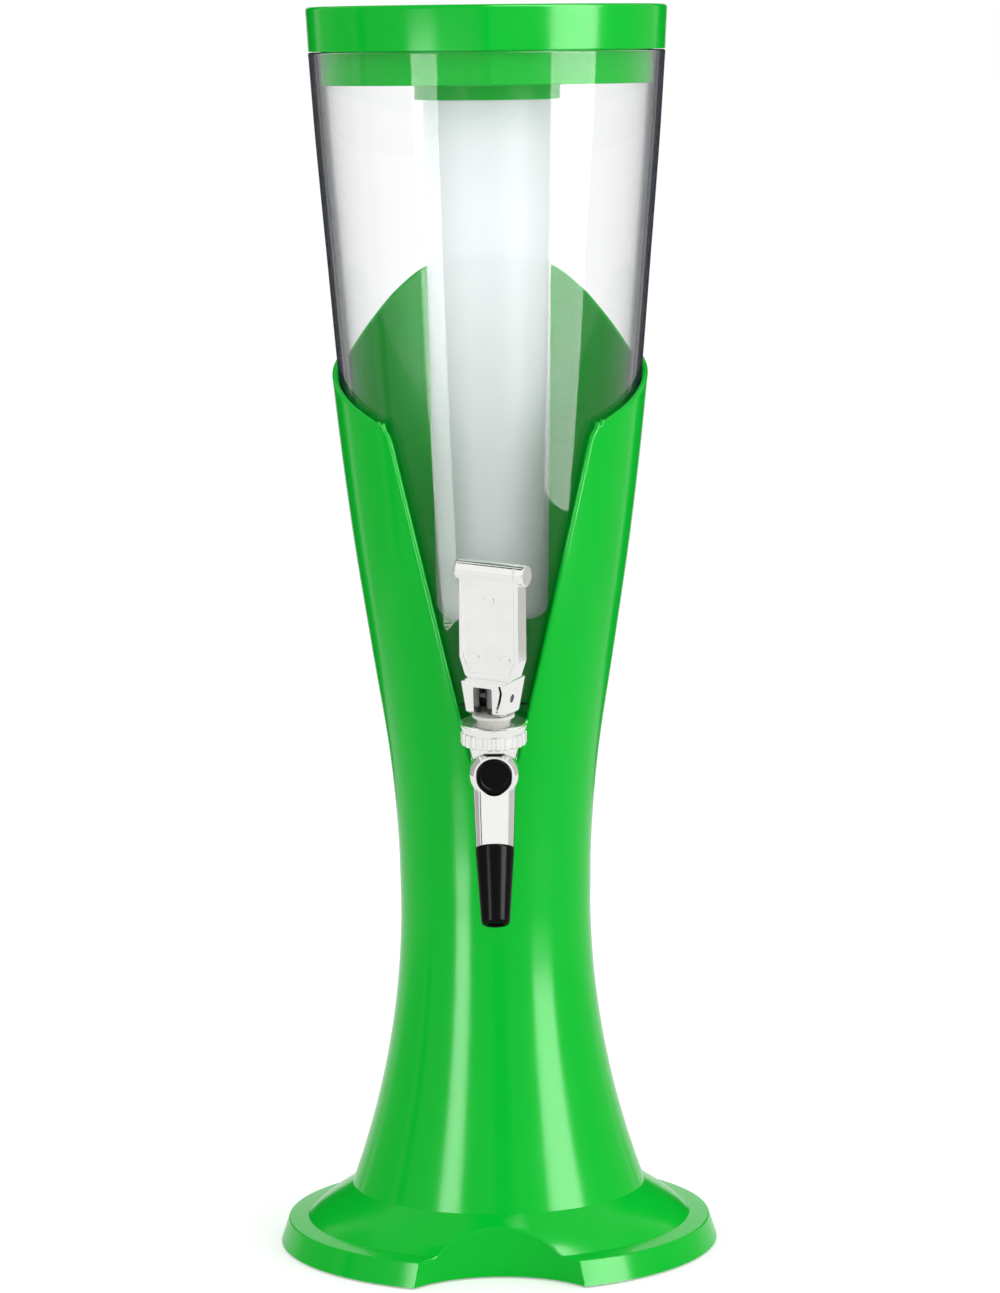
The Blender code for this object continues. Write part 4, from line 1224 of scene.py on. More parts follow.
@dataclass
class Holster:
    """The green base: flared foot with a glass notch, waist, V-cut front and raised back."""

    v_radius: float = 10.9 * MM
    v_height: float = 234.5 * MM
    shoulder_half_width: float = 46.0 * MM
    shoulder_height: float = 381.8 * MM
    shoulder_radius: float = 14 * MM
    shoulder_angle: float = 31 * DEGREE
    shoulder_run: float = 9 * MM
    back_height: float = 454 * MM
    rise_shares: Shares = (
        (0.0, 0.0),
        (0.215, 0.01),
        (0.278, 0.068),
        (0.339, 0.13),
        (0.417, 0.222),
        (0.5, 0.318),
        (0.583, 0.405),
        (0.65, 0.49),
        (0.722, 0.628),
        (0.794, 0.796),
        (0.867, 0.94),
        (0.933, 0.99),
        (1.0, 1.0),
    )
    v_steps: int = 16
    flank_steps: int = 62
    shoulder_steps: int = 12
    shoulder_past: float = 0.3
    rise_steps: int = 64
    smoothing_passes: int = 6
    smoothing_reach: float = 6 * DEGREE
    notch_radius: float = 48 * MM
    notch_deepest: float = 75 * MM
    notch_span: tuple[float, float] = (0.7 * DEGREE, 24.5 * DEGREE)
    notch_columns: int = 34
    notch_corner_degrees: tuple[float, ...] = (20.9, 21.2, 21.4, 21.5, 21.6, 21.7, 21.8, 21.9, 22.0, 22.1, 22.2, 22.4)
    beside_notch: float = 1.0
    least_column_gap: float = 0.06 * DEGREE
    ledge_width: float = 7.0 * MM
    ledge_thickness: float = 2.4 * MM
    seat_height: float = 214.2 * MM
    edge_round: float = 0.7 * MM
    upper_rows: int = 44
    upper_start: float = 216 * MM
    middle_rows: int = 8
    waist_rows: int = 22
    foot_rows: int = 12
    band_rows: int = 3
    edge_rows: int = 3
    side_rows: int = 4
    foot_wall_share: float = 1.2
    rim_facets: int = 8
    steep_rim: float = 0.5
    pads: int = 4
    first_pad: float = 45 * DEGREE
    pad_circle: float = 90 * MM
    pad_radius: float = 6.5 * MM
    pad_thickness: float = 2.5 * MM
    peg_radius: float = 2.8 * MM
    boss_margin: float = 1.2 * MM
    boss_overlap: float = 0.2 * MM
    boss_edge: float = 0.4 * MM
    boss_sides: int = 40

    def v_line(self) -> Outline:
        """Right half of the V's edge.

        Returns:
            Points as (x, height), from its bottom to past its round shoulder.
        """
        rise = self.shoulder_height - self.v_height
        reach = math.hypot(self.shoulder_half_width, rise)
        lean = math.atan2(self.shoulder_half_width, rise) - math.asin(self.v_radius / reach)
        bottom = arc_points((0, self.v_height), self.v_radius, -math.pi / 2, -lean, self.v_steps)
        turn = math.pi / 2 - lean - self.shoulder_angle
        back_off = self.shoulder_radius * math.tan(turn / 2)
        flank = Vector((math.sin(lean), math.cos(lean)))
        run = Vector((math.cos(self.shoulder_angle), math.sin(self.shoulder_angle)))
        corner = Vector((self.shoulder_half_width, self.shoulder_height))
        centre = corner - flank * back_off + Vector((flank.y, -flank.x)) * self.shoulder_radius
        start, end = math.pi - lean, math.pi / 2 + self.shoulder_angle
        shoulder = arc_points(tuple(centre), self.shoulder_radius, start, end, self.shoulder_steps)
        first, last = Vector(bottom[-1]), Vector(shoulder[0])
        straight = [tuple(first.lerp(last, t)) for t in even_steps(0, 1, self.flank_steps)[1:-1]]
        past = [tuple(corner + run * self.shoulder_run * t) for t in even_steps(self.shoulder_past, 1, 3)]
        return bottom + straight + shoulder + past

    def rim_line(self) -> Outline:
        """Right half of the rim.

        Returns:
            Points as (angle, height), from the front to the back.
        """
        points = []
        for x, z in self.v_line():
            angle = math.asin(x / SHAPE.skin(z))
            if points and z > self.rise(angle):
                break
            points.append((angle, z))
        first = points[-1][0]
        for angle in even_steps(first, math.pi, self.rise_steps)[1:]:
            points.append((angle, self.rise(angle)))
        for _ in range(self.smoothing_passes):
            old = list(points)
            for i in range(1, len(points) - 1):
                if abs(old[i][0] - first) < self.smoothing_reach:
                    height = (old[i - 1][1] + 2 * old[i][1] + old[i + 1][1]) / 4
                    points[i] = (old[i][0], height)
        return points

    def rise(self, angle: float) -> float:
        """Height of the rim behind the shoulders."""
        share = smooth_value(self.rise_shares, angle / math.pi)
        return self.shoulder_height + (self.back_height - self.shoulder_height) * share

    def set_back_rim(self) -> Outline:
        """The rim line, set back by half a wall's thickness to leave room for its round edge.

        Returns:
            Points as (angle, height), from the front to the back.
        """
        line = self.rim_line()
        back = []
        for i, (angle, height) in enumerate(line):
            radius = SHAPE.skin(height)
            before = line[i - 1] if i else (-line[1][0], line[1][1])
            after = line[i + 1] if i + 1 < len(line) else (2 * math.pi - line[-2][0], line[-2][1])
            run = Vector(((after[0] - before[0]) * radius, after[1] - before[1])).normalized()
            inward = Vector((run.y, -run.x)) * SHAPE.base_wall / 2
            back.append((angle + inward.x / radius, height + inward.y))
        back[0] = (0.0, back[0][1])
        back[-1] = (math.pi, back[-1][1])
        return back

    def columns(self) -> Outline:
        """Columns of the mesh, closer together at the corners of the notch.

        Returns:
            Angle and rim height of each, all the way round from the front.
        """
        line = self.set_back_rim()
        notch_angles = even_steps(*self.notch_span, self.notch_columns)
        notch_angles += [angle * DEGREE for angle in self.notch_corner_degrees]
        half = list(line)
        for angle in notch_angles:
            if min(abs(angle - known) for known, _ in half) > self.least_column_gap:
                half.append((angle, self.read(line, angle)))
        half.sort()
        other = [(2 * math.pi - angle, height) for angle, height in reversed(half[1:-1])]
        return half + other

    @staticmethod
    def read(line: Outline, angle: float) -> float:
        """Read a line straight between its points.

        Args:
            line: points as (angle, height), in the angles' order.
            angle: where it is read.

        Returns:
            The height there.
        """
        for (a, low), (b, high) in zip(line, line[1:]):
            if a <= angle <= b:
                return low + (high - low) * (angle - a) / (b - a)
        return line[-1][1]

    def notch_reach(self, angle: float, radius: float) -> float:
        """Distance from the axis to the notch's wall.

        Args:
            angle: the angle from the front.
            radius: radius of the wall that is meant.

        Returns:
            The distance along the angle, or a far one beside the notch.
        """
        middle = self.notch_deepest + self.notch_radius
        aside = middle * math.sin(angle)
        if math.cos(angle) <= 0 or abs(aside) >= radius:
            return self.beside_notch
        return middle * math.cos(angle) - math.sqrt(radius**2 - aside**2)

    def lower_rows(self) -> Outline:
        """Outside of the base below the upper rows.

        Returns:
            Points as (radius, height), down to the crease.
        """
        levels = even_steps(self.upper_start, SHAPE.waist_height, self.middle_rows)[1:]
        levels += even_steps(SHAPE.waist_height, SHAPE.crease_height, self.waist_rows)[1:]
        return [(SHAPE.skin(z), z) for z in levels]

    def foot_column(self, angle: float) -> tuple[Outline, Outline]:
        """Outer and inner outline of the foot at an angle.

        Args:
            angle: the angle from the front.

        Returns:
            The outer points from the crease out and down, and the inner points from the crease out and down.
        """
        wall = SHAPE.base_wall
        rim = SHAPE.foot_rim_radius
        reach = self.notch_reach(angle, self.notch_radius)
        end = min(rim, reach)
        soft = self.edge_round
        outer = []
        radii = even_steps(SHAPE.crease_radius, SHAPE.band_radius, self.foot_rows)[1:]
        radii += even_steps(SHAPE.band_radius, rim - soft, self.band_rows)[1:]
        for radius in radii:
            at = min(radius, end - soft)
            outer.append((at, SHAPE.foot_top(at)))
        edge = SHAPE.foot_top(end)
        for turn in even_steps(0, math.pi / 2, self.edge_rows)[1:]:
            outer.append((end - soft + soft * math.sin(turn), edge - soft + soft * math.cos(turn)))
        for down in even_steps(0, 1, self.side_rows)[1:]:
            at = min(rim + SHAPE.foot_draft * down, reach)
            top = edge - soft
            outer.append((at, top + (SHAPE.stand_off - top) * down))
        inner_reach = self.notch_reach(angle, self.notch_radius + wall)
        inner_rim = rim - wall
        inner = []
        for radius in even_steps(SHAPE.crease_radius - wall, inner_rim, self.foot_rows)[1:]:
            at = min(radius, inner_reach)
            inner.append((at, SHAPE.foot_top(max(at, SHAPE.crease_radius)) - self.foot_wall_share * wall))
        low = min(SHAPE.foot_radius - wall, inner_reach)
        inner.append((low, SHAPE.stand_off))
        return outer, inner

    @staticmethod
    def stood(outline: Outline, angle: float) -> list[Vector]:
        """Stand (radius, height) points at an angle from the front."""
        return [Vector((radius * math.sin(angle), -radius * math.cos(angle), z)) for radius, z in outline]

    def column(self, angle: float, top: float, lower: Outline) -> tuple[list[Vector], list[Vector]]:
        """Outer and inner skin of the base at an angle.

        Args:
            angle: the angle from the front.
            top: height of the rim there.
            lower: outside of the base below the upper rows.

        Returns:
            The outer points and the inner points, each from the rim down.
        """
        wall = SHAPE.base_wall
        levels = even_steps(top, self.upper_start, self.upper_rows)
        outside = [(SHAPE.skin(z), z) for z in levels]
        inside = []
        for z in levels:
            normal = SHAPE.lean(z)
            inside.append((SHAPE.skin(z) - wall * normal.x, z - wall * normal.y))
        foot_outer, foot_inner = self.foot_column(angle)
        seat = self.seat_height
        under = seat - self.ledge_thickness
        ledge = SHAPE.skin(seat) - wall - self.ledge_width
        hollow = [(SHAPE.skin(seat) - wall, seat), (ledge, seat), (ledge, under), (SHAPE.skin(under) - wall, under)]
        hollow += [(radius - wall, z) for radius, z in lower if z < under - wall] + foot_inner
        return self.stood(outside + lower + foot_outer, angle), self.stood(inside + hollow, angle)

    def build_shell(self) -> None:
        """Skin the whole base in one closed mesh."""
        lower = self.lower_rows()
        stacks = [self.column(angle, top, lower) for angle, top in self.columns()]
        outer_count, inner_count = len(stacks[0][0]), len(stacks[0][1])
        rings = [[outer[row] for outer, _ in stacks] for row in reversed(range(outer_count))]
        rings += self.rim_rings([(outer[0], inner[0]) for outer, inner in stacks])
        rings += [[inner[row] for _, inner in stacks] for row in range(inner_count)]
        piece("base_skin", ring_mesh("base_skin", rings), Slot.GREEN, Body.BASE, ("base_shell",))

    def rim_rings(self, edges: list[tuple[Vector, Vector]]) -> list[list[Vector]]:
        """Half round rim between the outer and the inner skin.

        Args:
            edges: the outer and inner point of each column's top.

        Returns:
            Rings over the rim, without its first and last.
        """
        count = len(edges)
        middles = [(outer + inner) / 2 for outer, inner in edges]
        rings = []
        for turn in even_steps(0, math.pi, self.rim_facets)[1:-1]:
            ring = []
            for i, (outer, inner) in enumerate(edges):
                along = (middles[(i + 1) % count] - middles[i - 1]).normalized()
                across = (outer - inner) / 2
                up = across.normalized().cross(along)
                steep = abs(along.z) > self.steep_rim
                up = up if up.z > 0 or steep and up.dot(self.open_side(middles[i])) > 0 else -up
                ring.append(middles[i] + across * math.cos(turn) + up.normalized() * across.length * math.sin(turn))
            rings.append(ring)
        return rings

    @staticmethod
    def open_side(point: Vector) -> Vector:
        """Direction from the rim to the open side of the V."""
        return Vector((-point.x, 0, abs(point.x)))

    def build_bosses(self) -> None:
        """Make the short posts under the foot, which take the pegs of the rubber feet."""
        low = self.pad_thickness + TOUCH_GAP
        high = SHAPE.foot_rim_height - SHAPE.base_wall + self.boss_overlap
        inner, outer = self.peg_radius, self.pad_radius + self.boss_margin
        outline = rounded([(inner, high, 0), (inner, low, 0), (outer, low, self.boss_edge), (outer, high, 0)])
        for number in range(self.pads):
            angle = self.first_pad + number * math.pi / 2
            place = (self.pad_circle * math.cos(angle), self.pad_circle * math.sin(angle), 0)
            mesh = turned("boss", outline, self.boss_sides, Matrix.Translation(place))
            piece(f"foot_boss_{number + 1}", mesh, Slot.GREEN, Body.BASE)

    def build(self) -> None:
        """Make the base."""
        self.build_shell()
        self.build_bosses()


@dataclass(frozen=True)
class TapFrames:
    """Frames and shared sizes of the tap: its stem axis is up, and its shank runs back into the tank."""

    shank_height: float = 234.5 * MM
    tilt: float = 7 * DEGREE
    stem_to_wall: float = 22.4 * MM
    spout_angle: float = 31 * DEGREE
    lever_yaw: float = -28 * DEGREE
    pin_height: float = 33.5 * MM
    key_proud: float = 2.0 * MM
    shank_radius: float = 6.5 * MM
    neck_radius: float = 11 * MM
    lift: float = 3.0 * MM

    @property
    def tap(self) -> Matrix:
        """Frame with the stem along Z.

        Returns:
            The frame, whose origin is where the shank's axis meets the stem's.
        """
        back = SHAPE.tank(self.shank_height) + self.stem_to_wall * math.cos(self.tilt)
        down = self.shank_height - self.stem_to_wall * math.sin(self.tilt)
        return Matrix.Translation((0, -back, down)) @ Matrix.Rotation(self.tilt, 4, "X")

    @property
    def shank(self) -> Matrix:
        """Frame with Z back through the tank's wall."""
        return self.tap @ Matrix.Rotation(-math.pi / 2, 4, "X")

    @property
    def boss(self) -> Matrix:
        """Frame with Z out of the front."""
        return self.shank @ Matrix.Rotation(math.pi, 4, "X")

    @property
    def spout(self) -> Matrix:
        """Frame with Z down the spout."""
        return self.tap @ Matrix.Rotation(math.pi - self.spout_angle, 4, "X")

    @property
    def lever(self) -> Matrix:
        """Frame of the lever, turned about the stem."""
        return self.tap @ Matrix.Rotation(self.lever_yaw, 4, "Z")

    @property
    def pin(self) -> Matrix:
        """Frame with Z along the lever's pin."""
        return self.lever @ Matrix.Translation((0, 0, self.pin_height)) @ Matrix.Rotation(math.pi / 2, 4, "Y")


FRAMES = TapFrames()
FRONT_VIEW = Matrix(((1, 0, 0, 0), (0, 0, -1, 0), (0, 1, 0, 0), (0, 0, 0, 1)))
SIDE_VIEW = Matrix(((0, 0, 1, 0), (1, 0, 0, 0), (0, 1, 0, 0), (0, 0, 0, 1)))


@dataclass
class Tank:
    """The clear vessel with its keel, the key in the V and the seat of the tap."""

    floor: float = 3.0 * MM
    bottom: float = 214.5 * MM
    corner: float = 3.0 * MM
    corner_share: float = 0.9
    corner_facets: int = 8
    lip_round: float = 0.9 * MM
    lip_facets: int = 5
    key_clearance: float = 1.0 * MM
    key_rise: float = 24 * MM
    key_round: float = 1.2 * MM
    key_facets: int = 14
    boss_radius: float = 13 * MM
    boss_proud: float = 2.2 * MM
    boss_round: float = 0.6 * MM
    boss_facets: int = 4
    rows: int = 60
    sides: int = 192
    fitting_sides: int = 64

    @property
    def boss_face(self) -> float:
        """Distance from the stem's axis to the seat's face."""
        return FRAMES.stem_to_wall + SHAPE.tank_wall + self.boss_proud

    def key(self, holster: Holster) -> bpy.types.Mesh:
        """Block that fills the bottom of the V and gives the tap a flat seat.

        Args:
            holster: the base, whose V it fills.

        Returns:
            The block.
        """
        line = holster.v_line()
        middle = FRAMES.shank_height
        radius = holster.v_radius - self.key_clearance
        top_x = max(x for x, z in line if z < middle + self.key_rise) - self.key_clearance
        lean = math.atan2(top_x - radius, self.key_rise)
        bottom = arc_points((0, 0), radius, -math.pi / 2, -lean, self.key_facets)
        right = rounded([(*bottom[-1], 0), (top_x, self.key_rise, self.key_round), (0, self.key_rise, 0)])[:-1]
        half = bottom[:-1] + right
        outline = half + [(-x, z) for x, z in reversed(half) if x > WELD]
        front = FRAMES.stem_to_wall - FRAMES.key_proud
        back = FRAMES.stem_to_wall + SHAPE.tank_wall + 2 * SHAPE.tank_clearance
        return extruded("key", outline, -back, -front, FRAMES.tap @ FRONT_VIEW)

    def inner_boss(self) -> bpy.types.Mesh:
        """Round seat of the lock nut inside the tank.

        Returns:
            The seat.
        """
        face, soft = self.boss_face, self.boss_round
        root = FRAMES.stem_to_wall + OVERLAP
        outline = [(0, face)]
        outline += arc_points((self.boss_radius - soft, face - soft), soft, math.pi / 2, 0, self.boss_facets)
        outline += [(self.boss_radius, root), (0, root)]
        return turned("boss", outline, self.fitting_sides, FRAMES.shank)

    def bore(self) -> bpy.types.Mesh:
        """Cutter for the hole of the tap's shank.

        Returns:
            The cutter.
        """
        radius = FRAMES.shank_radius + TOUCH_GAP
        end = self.boss_face + OVERRUN
        return turned("bore", [(0, end), (radius, end), (radius, 0), (0, 0)], self.fitting_sides, FRAMES.shank)

    def outside(self) -> Outline:
        """Outside of the vessel.

        Returns:
            Points as (radius, height), from under its lip to its floor.
        """
        bottom, low = self.bottom, self.bottom + self.corner
        points = []
        for z in even_steps(SHAPE.rim_height - 4 * self.lip_round, bottom + 2 * self.corner, self.rows):
            points.append((SHAPE.tank(z), z))
        radius = SHAPE.tank(low)
        corners = [(radius, low, 0), (radius, bottom, self.corner * self.corner_share), (self.corner, bottom, 0)]
        return points + rounded(corners, self.corner_facets)

    def build(self, holster: Holster) -> None:
        """Make the tank.

        Args:
            holster: the base, whose V the key fills.
        """
        top, bottom = SHAPE.rim_height, self.bottom
        outer_rim, inner_rim = SHAPE.tank(top), SHAPE.tank(top) - SHAPE.tank_wall
        middle = (outer_rim - self.lip_round, top - self.lip_round)
        lip = arc_points(middle, self.lip_round, math.pi / 2, 0, self.lip_facets)
        solid = turned("tank", [(0, top), (inner_rim, top)] + lip + self.outside() + [(0, bottom)], self.sides)
        levels = even_steps(top, bottom + self.floor, self.rows)
        inside = [(SHAPE.tank(z) - SHAPE.tank_wall, z) for z in levels]
        above = top + OVERRUN
        hollow = [(0, above), (inside[0][0], above)] + inside + [(0, bottom + self.floor)]
        space = combined(SHAPE.keeled(turned("space", hollow, self.sides)), [self.inner_boss()], Step.CUT)
        mesh = combined(SHAPE.keeled(solid), [self.key(holster)], Step.JOIN)
        mesh = combined(mesh, [space], Step.CUT)
        mesh = combined(mesh, [self.bore()], Step.CUT)
        piece("tank_vessel", mesh, Slot.CLEAR, Body.TANK, ("tank",))


@dataclass
class Lid:
    """The green cap with its skirt inside the tank and the socket ring for the ice tube."""

    band: float = 20.1 * MM
    flare: float = 1.1 * MM
    wall: float = 2.2 * MM
    plate: float = 2.5 * MM
    dish_margin: float = 13.9 * MM
    dish_depth: float = 1.5 * MM
    dish_floor_round: float = 1.0 * MM
    dish_edge_round: float = 0.8 * MM
    edge_round: float = 1.6 * MM
    band_edge_round: float = 0.5 * MM
    inner_edge_round: float = 0.4 * MM
    fillet: float = 0.6 * MM
    skirt_edge_round: float = 0.5 * MM
    skirt_clearance: float = 2.6 * MM
    skirt_depth: float = 14.7 * MM
    socket_drop: float = 7.0 * MM
    socket_wall: float = 1.1 * MM
    socket_edge_round: float = 0.4 * MM
    ledge_edge_round: float = 0.3 * MM
    ledge_height: float = 2.4 * MM
    groove_height: float = 3.4 * MM
    groove_depth: float = 2.0 * MM
    ledge_radius: float = 30.2 * MM
    lug_half_angle: float = 11 * DEGREE
    lug_first_angle: float = 30 * DEGREE
    lug_margin: float = 3 * DEGREE
    twist: float = 34 * DEGREE
    lug_count: int = 3
    lug_facets: int = 12
    sides: int = 240

    @property
    def socket_bottom(self) -> float:
        """Height of the socket ring's lower edge."""
        return SHAPE.rim_height - self.skirt_depth - self.socket_drop

    @property
    def groove_bottom(self) -> float:
        """Height of the groove's floor, on which the lugs rest."""
        return self.socket_bottom + self.ledge_height

    @property
    def groove_radius(self) -> float:
        """Radius of the groove."""
        return self.ledge_radius + self.groove_depth

    def sectors(self, radius: float, low: float, high: float, half: float, first: float) -> list[bpy.types.Mesh]:
        """Wedges about Z, one for each lug.

        Args:
            radius: their outer radius.
            low: their bottom.
            high: their top.
            half: half of their angle.
            first: the first one's middle.

        Returns:
            The wedges.
        """
        wedges = []
        for number in range(self.lug_count):
            middle = first + 2 * math.pi * number / self.lug_count
            outline = arc_points((0, 0), radius, middle - half, middle + half, self.lug_facets)
            root = self.ledge_radius - OVERLAP
            outline += arc_points((0, 0), root, middle + half, middle - half, self.lug_facets)
            wedges.append(extruded("wedge", outline, low, high, Matrix.Identity(4)))
        return wedges

    @property
    def skirt_radius(self) -> float:
        """Outer radius of the skirt, which reaches into the tank."""
        return SHAPE.rim_radius - SHAPE.tank_wall - self.skirt_clearance

    @property
    def socket_radius(self) -> float:
        """Outer radius of the socket ring."""
        return self.groove_radius + self.socket_wall

    def section(self) -> Outline:
        """Section of the lid, over its top and back under it.

        Returns:
            Points as (radius, height).
        """
        rim = SHAPE.rim_radius
        band_bottom = SHAPE.rim_height + TOUCH_GAP
        top = band_bottom + self.band
        top_radius = rim + self.flare
        floor = top - self.dish_depth
        inner = floor - self.plate
        dish = top_radius - self.dish_margin
        skirt, skirt_bottom = self.skirt_radius, SHAPE.rim_height - self.skirt_depth
        socket, bottom = self.socket_radius, self.socket_bottom
        groove_top = self.groove_bottom + self.groove_height
        corners = [
            (0, floor, 0),
            (dish - self.dish_depth, floor, self.dish_floor_round),
            (dish, top, self.dish_edge_round),
            (top_radius, top, self.edge_round),
            (rim, band_bottom, self.band_edge_round),
            (rim - self.wall, band_bottom, self.inner_edge_round),
            (top_radius - self.wall, inner, self.fillet),
            (skirt, inner, self.fillet),
            (skirt, skirt_bottom, self.skirt_edge_round),
            (skirt - self.wall, skirt_bottom, self.skirt_edge_round),
            (skirt - self.wall, inner, self.fillet),
            (socket, inner, self.fillet),
            (socket, bottom, self.socket_edge_round),
            (self.ledge_radius, bottom, self.ledge_edge_round),
            (self.ledge_radius, self.groove_bottom, 0),
            (self.groove_radius, self.groove_bottom, 0),
            (self.groove_radius, groove_top, 0),
            (self.ledge_radius, groove_top + self.groove_depth, 0),
            (self.ledge_radius, inner, 0),
            (0, inner, 0),
        ]
        return rounded(corners)

    def build(self) -> None:
        """Make the lid, with notches in its ledge that let the lugs in."""
        inside = (self.socket_radius + self.skirt_radius) / 2
        mesh = SHAPE.keeled(turned("lid", self.section(), self.sides), inside)
        first = self.lug_first_angle + self.twist
        low, high = self.socket_bottom - OVERRUN, self.groove_bottom + TOUCH_GAP
        notches = self.sectors(self.groove_radius, low, high, self.lug_half_angle + self.lug_margin, first)
        mesh = combined(mesh, notches, Step.CUT)
        piece("lid_cap", mesh, Slot.GREEN, Body.LID, ("lid",))


@dataclass
class IceTube:
    """The frosted tube that hangs from the lid by three lugs."""

    top_radius: float = 29.6 * MM
    bottom_radius: float = 25.4 * MM
    length: float = 241 * MM
    wall: float = 2.0 * MM
    corner: float = 7 * MM
    lug_thickness: float = 2.4 * MM
    rows: int = 24
    corner_facets: int = 10
    sides: int = 128

    def radius(self, rise: float) -> float:
        """Outer radius of the tube at a height above its bottom."""
        return self.bottom_radius + (self.top_radius - self.bottom_radius) * rise / self.length

    def build(self, lid: Lid) -> None:
        """Make the ice tube.

        Args:
            lid: the lid, whose socket it hangs in.
        """
        top = lid.groove_bottom + TOUCH_GAP + self.lug_thickness
        bottom = top - self.length
        levels = even_steps(top, bottom + self.corner, self.rows)[:-1]
        middle = (self.radius(self.corner) - self.corner, bottom + self.corner)
        inner = self.corner - self.wall
        outside = [(self.radius(z - bottom), z) for z in levels]
        outside += arc_points(middle, self.corner, 0, -math.pi / 2, self.corner_facets)
        inside = [(self.radius(z - bottom) - self.wall, z) for z in levels]
        inside += arc_points(middle, inner, 0, -math.pi / 2, self.corner_facets)
        inside[0] = (inside[0][0], top + OVERRUN)
        solid = turned("tube", [(0, top)] + outside + [(0, bottom)], self.sides)
        hollow = turned("bore", [(0, top + OVERRUN)] + inside + [(0, bottom + self.wall)], self.sides)
        lug_radius = lid.groove_radius - TOUCH_GAP
        lugs = lid.sectors(lug_radius, top - self.lug_thickness, top, lid.lug_half_angle, lid.lug_first_angle)
        mesh = combined(solid, lugs, Step.JOIN)
        mesh = combined(mesh, [hollow], Step.CUT)
        piece("ice_tube_wall", mesh, Slot.FROSTED, Body.ICE_TUBE, ("ice_tube",))


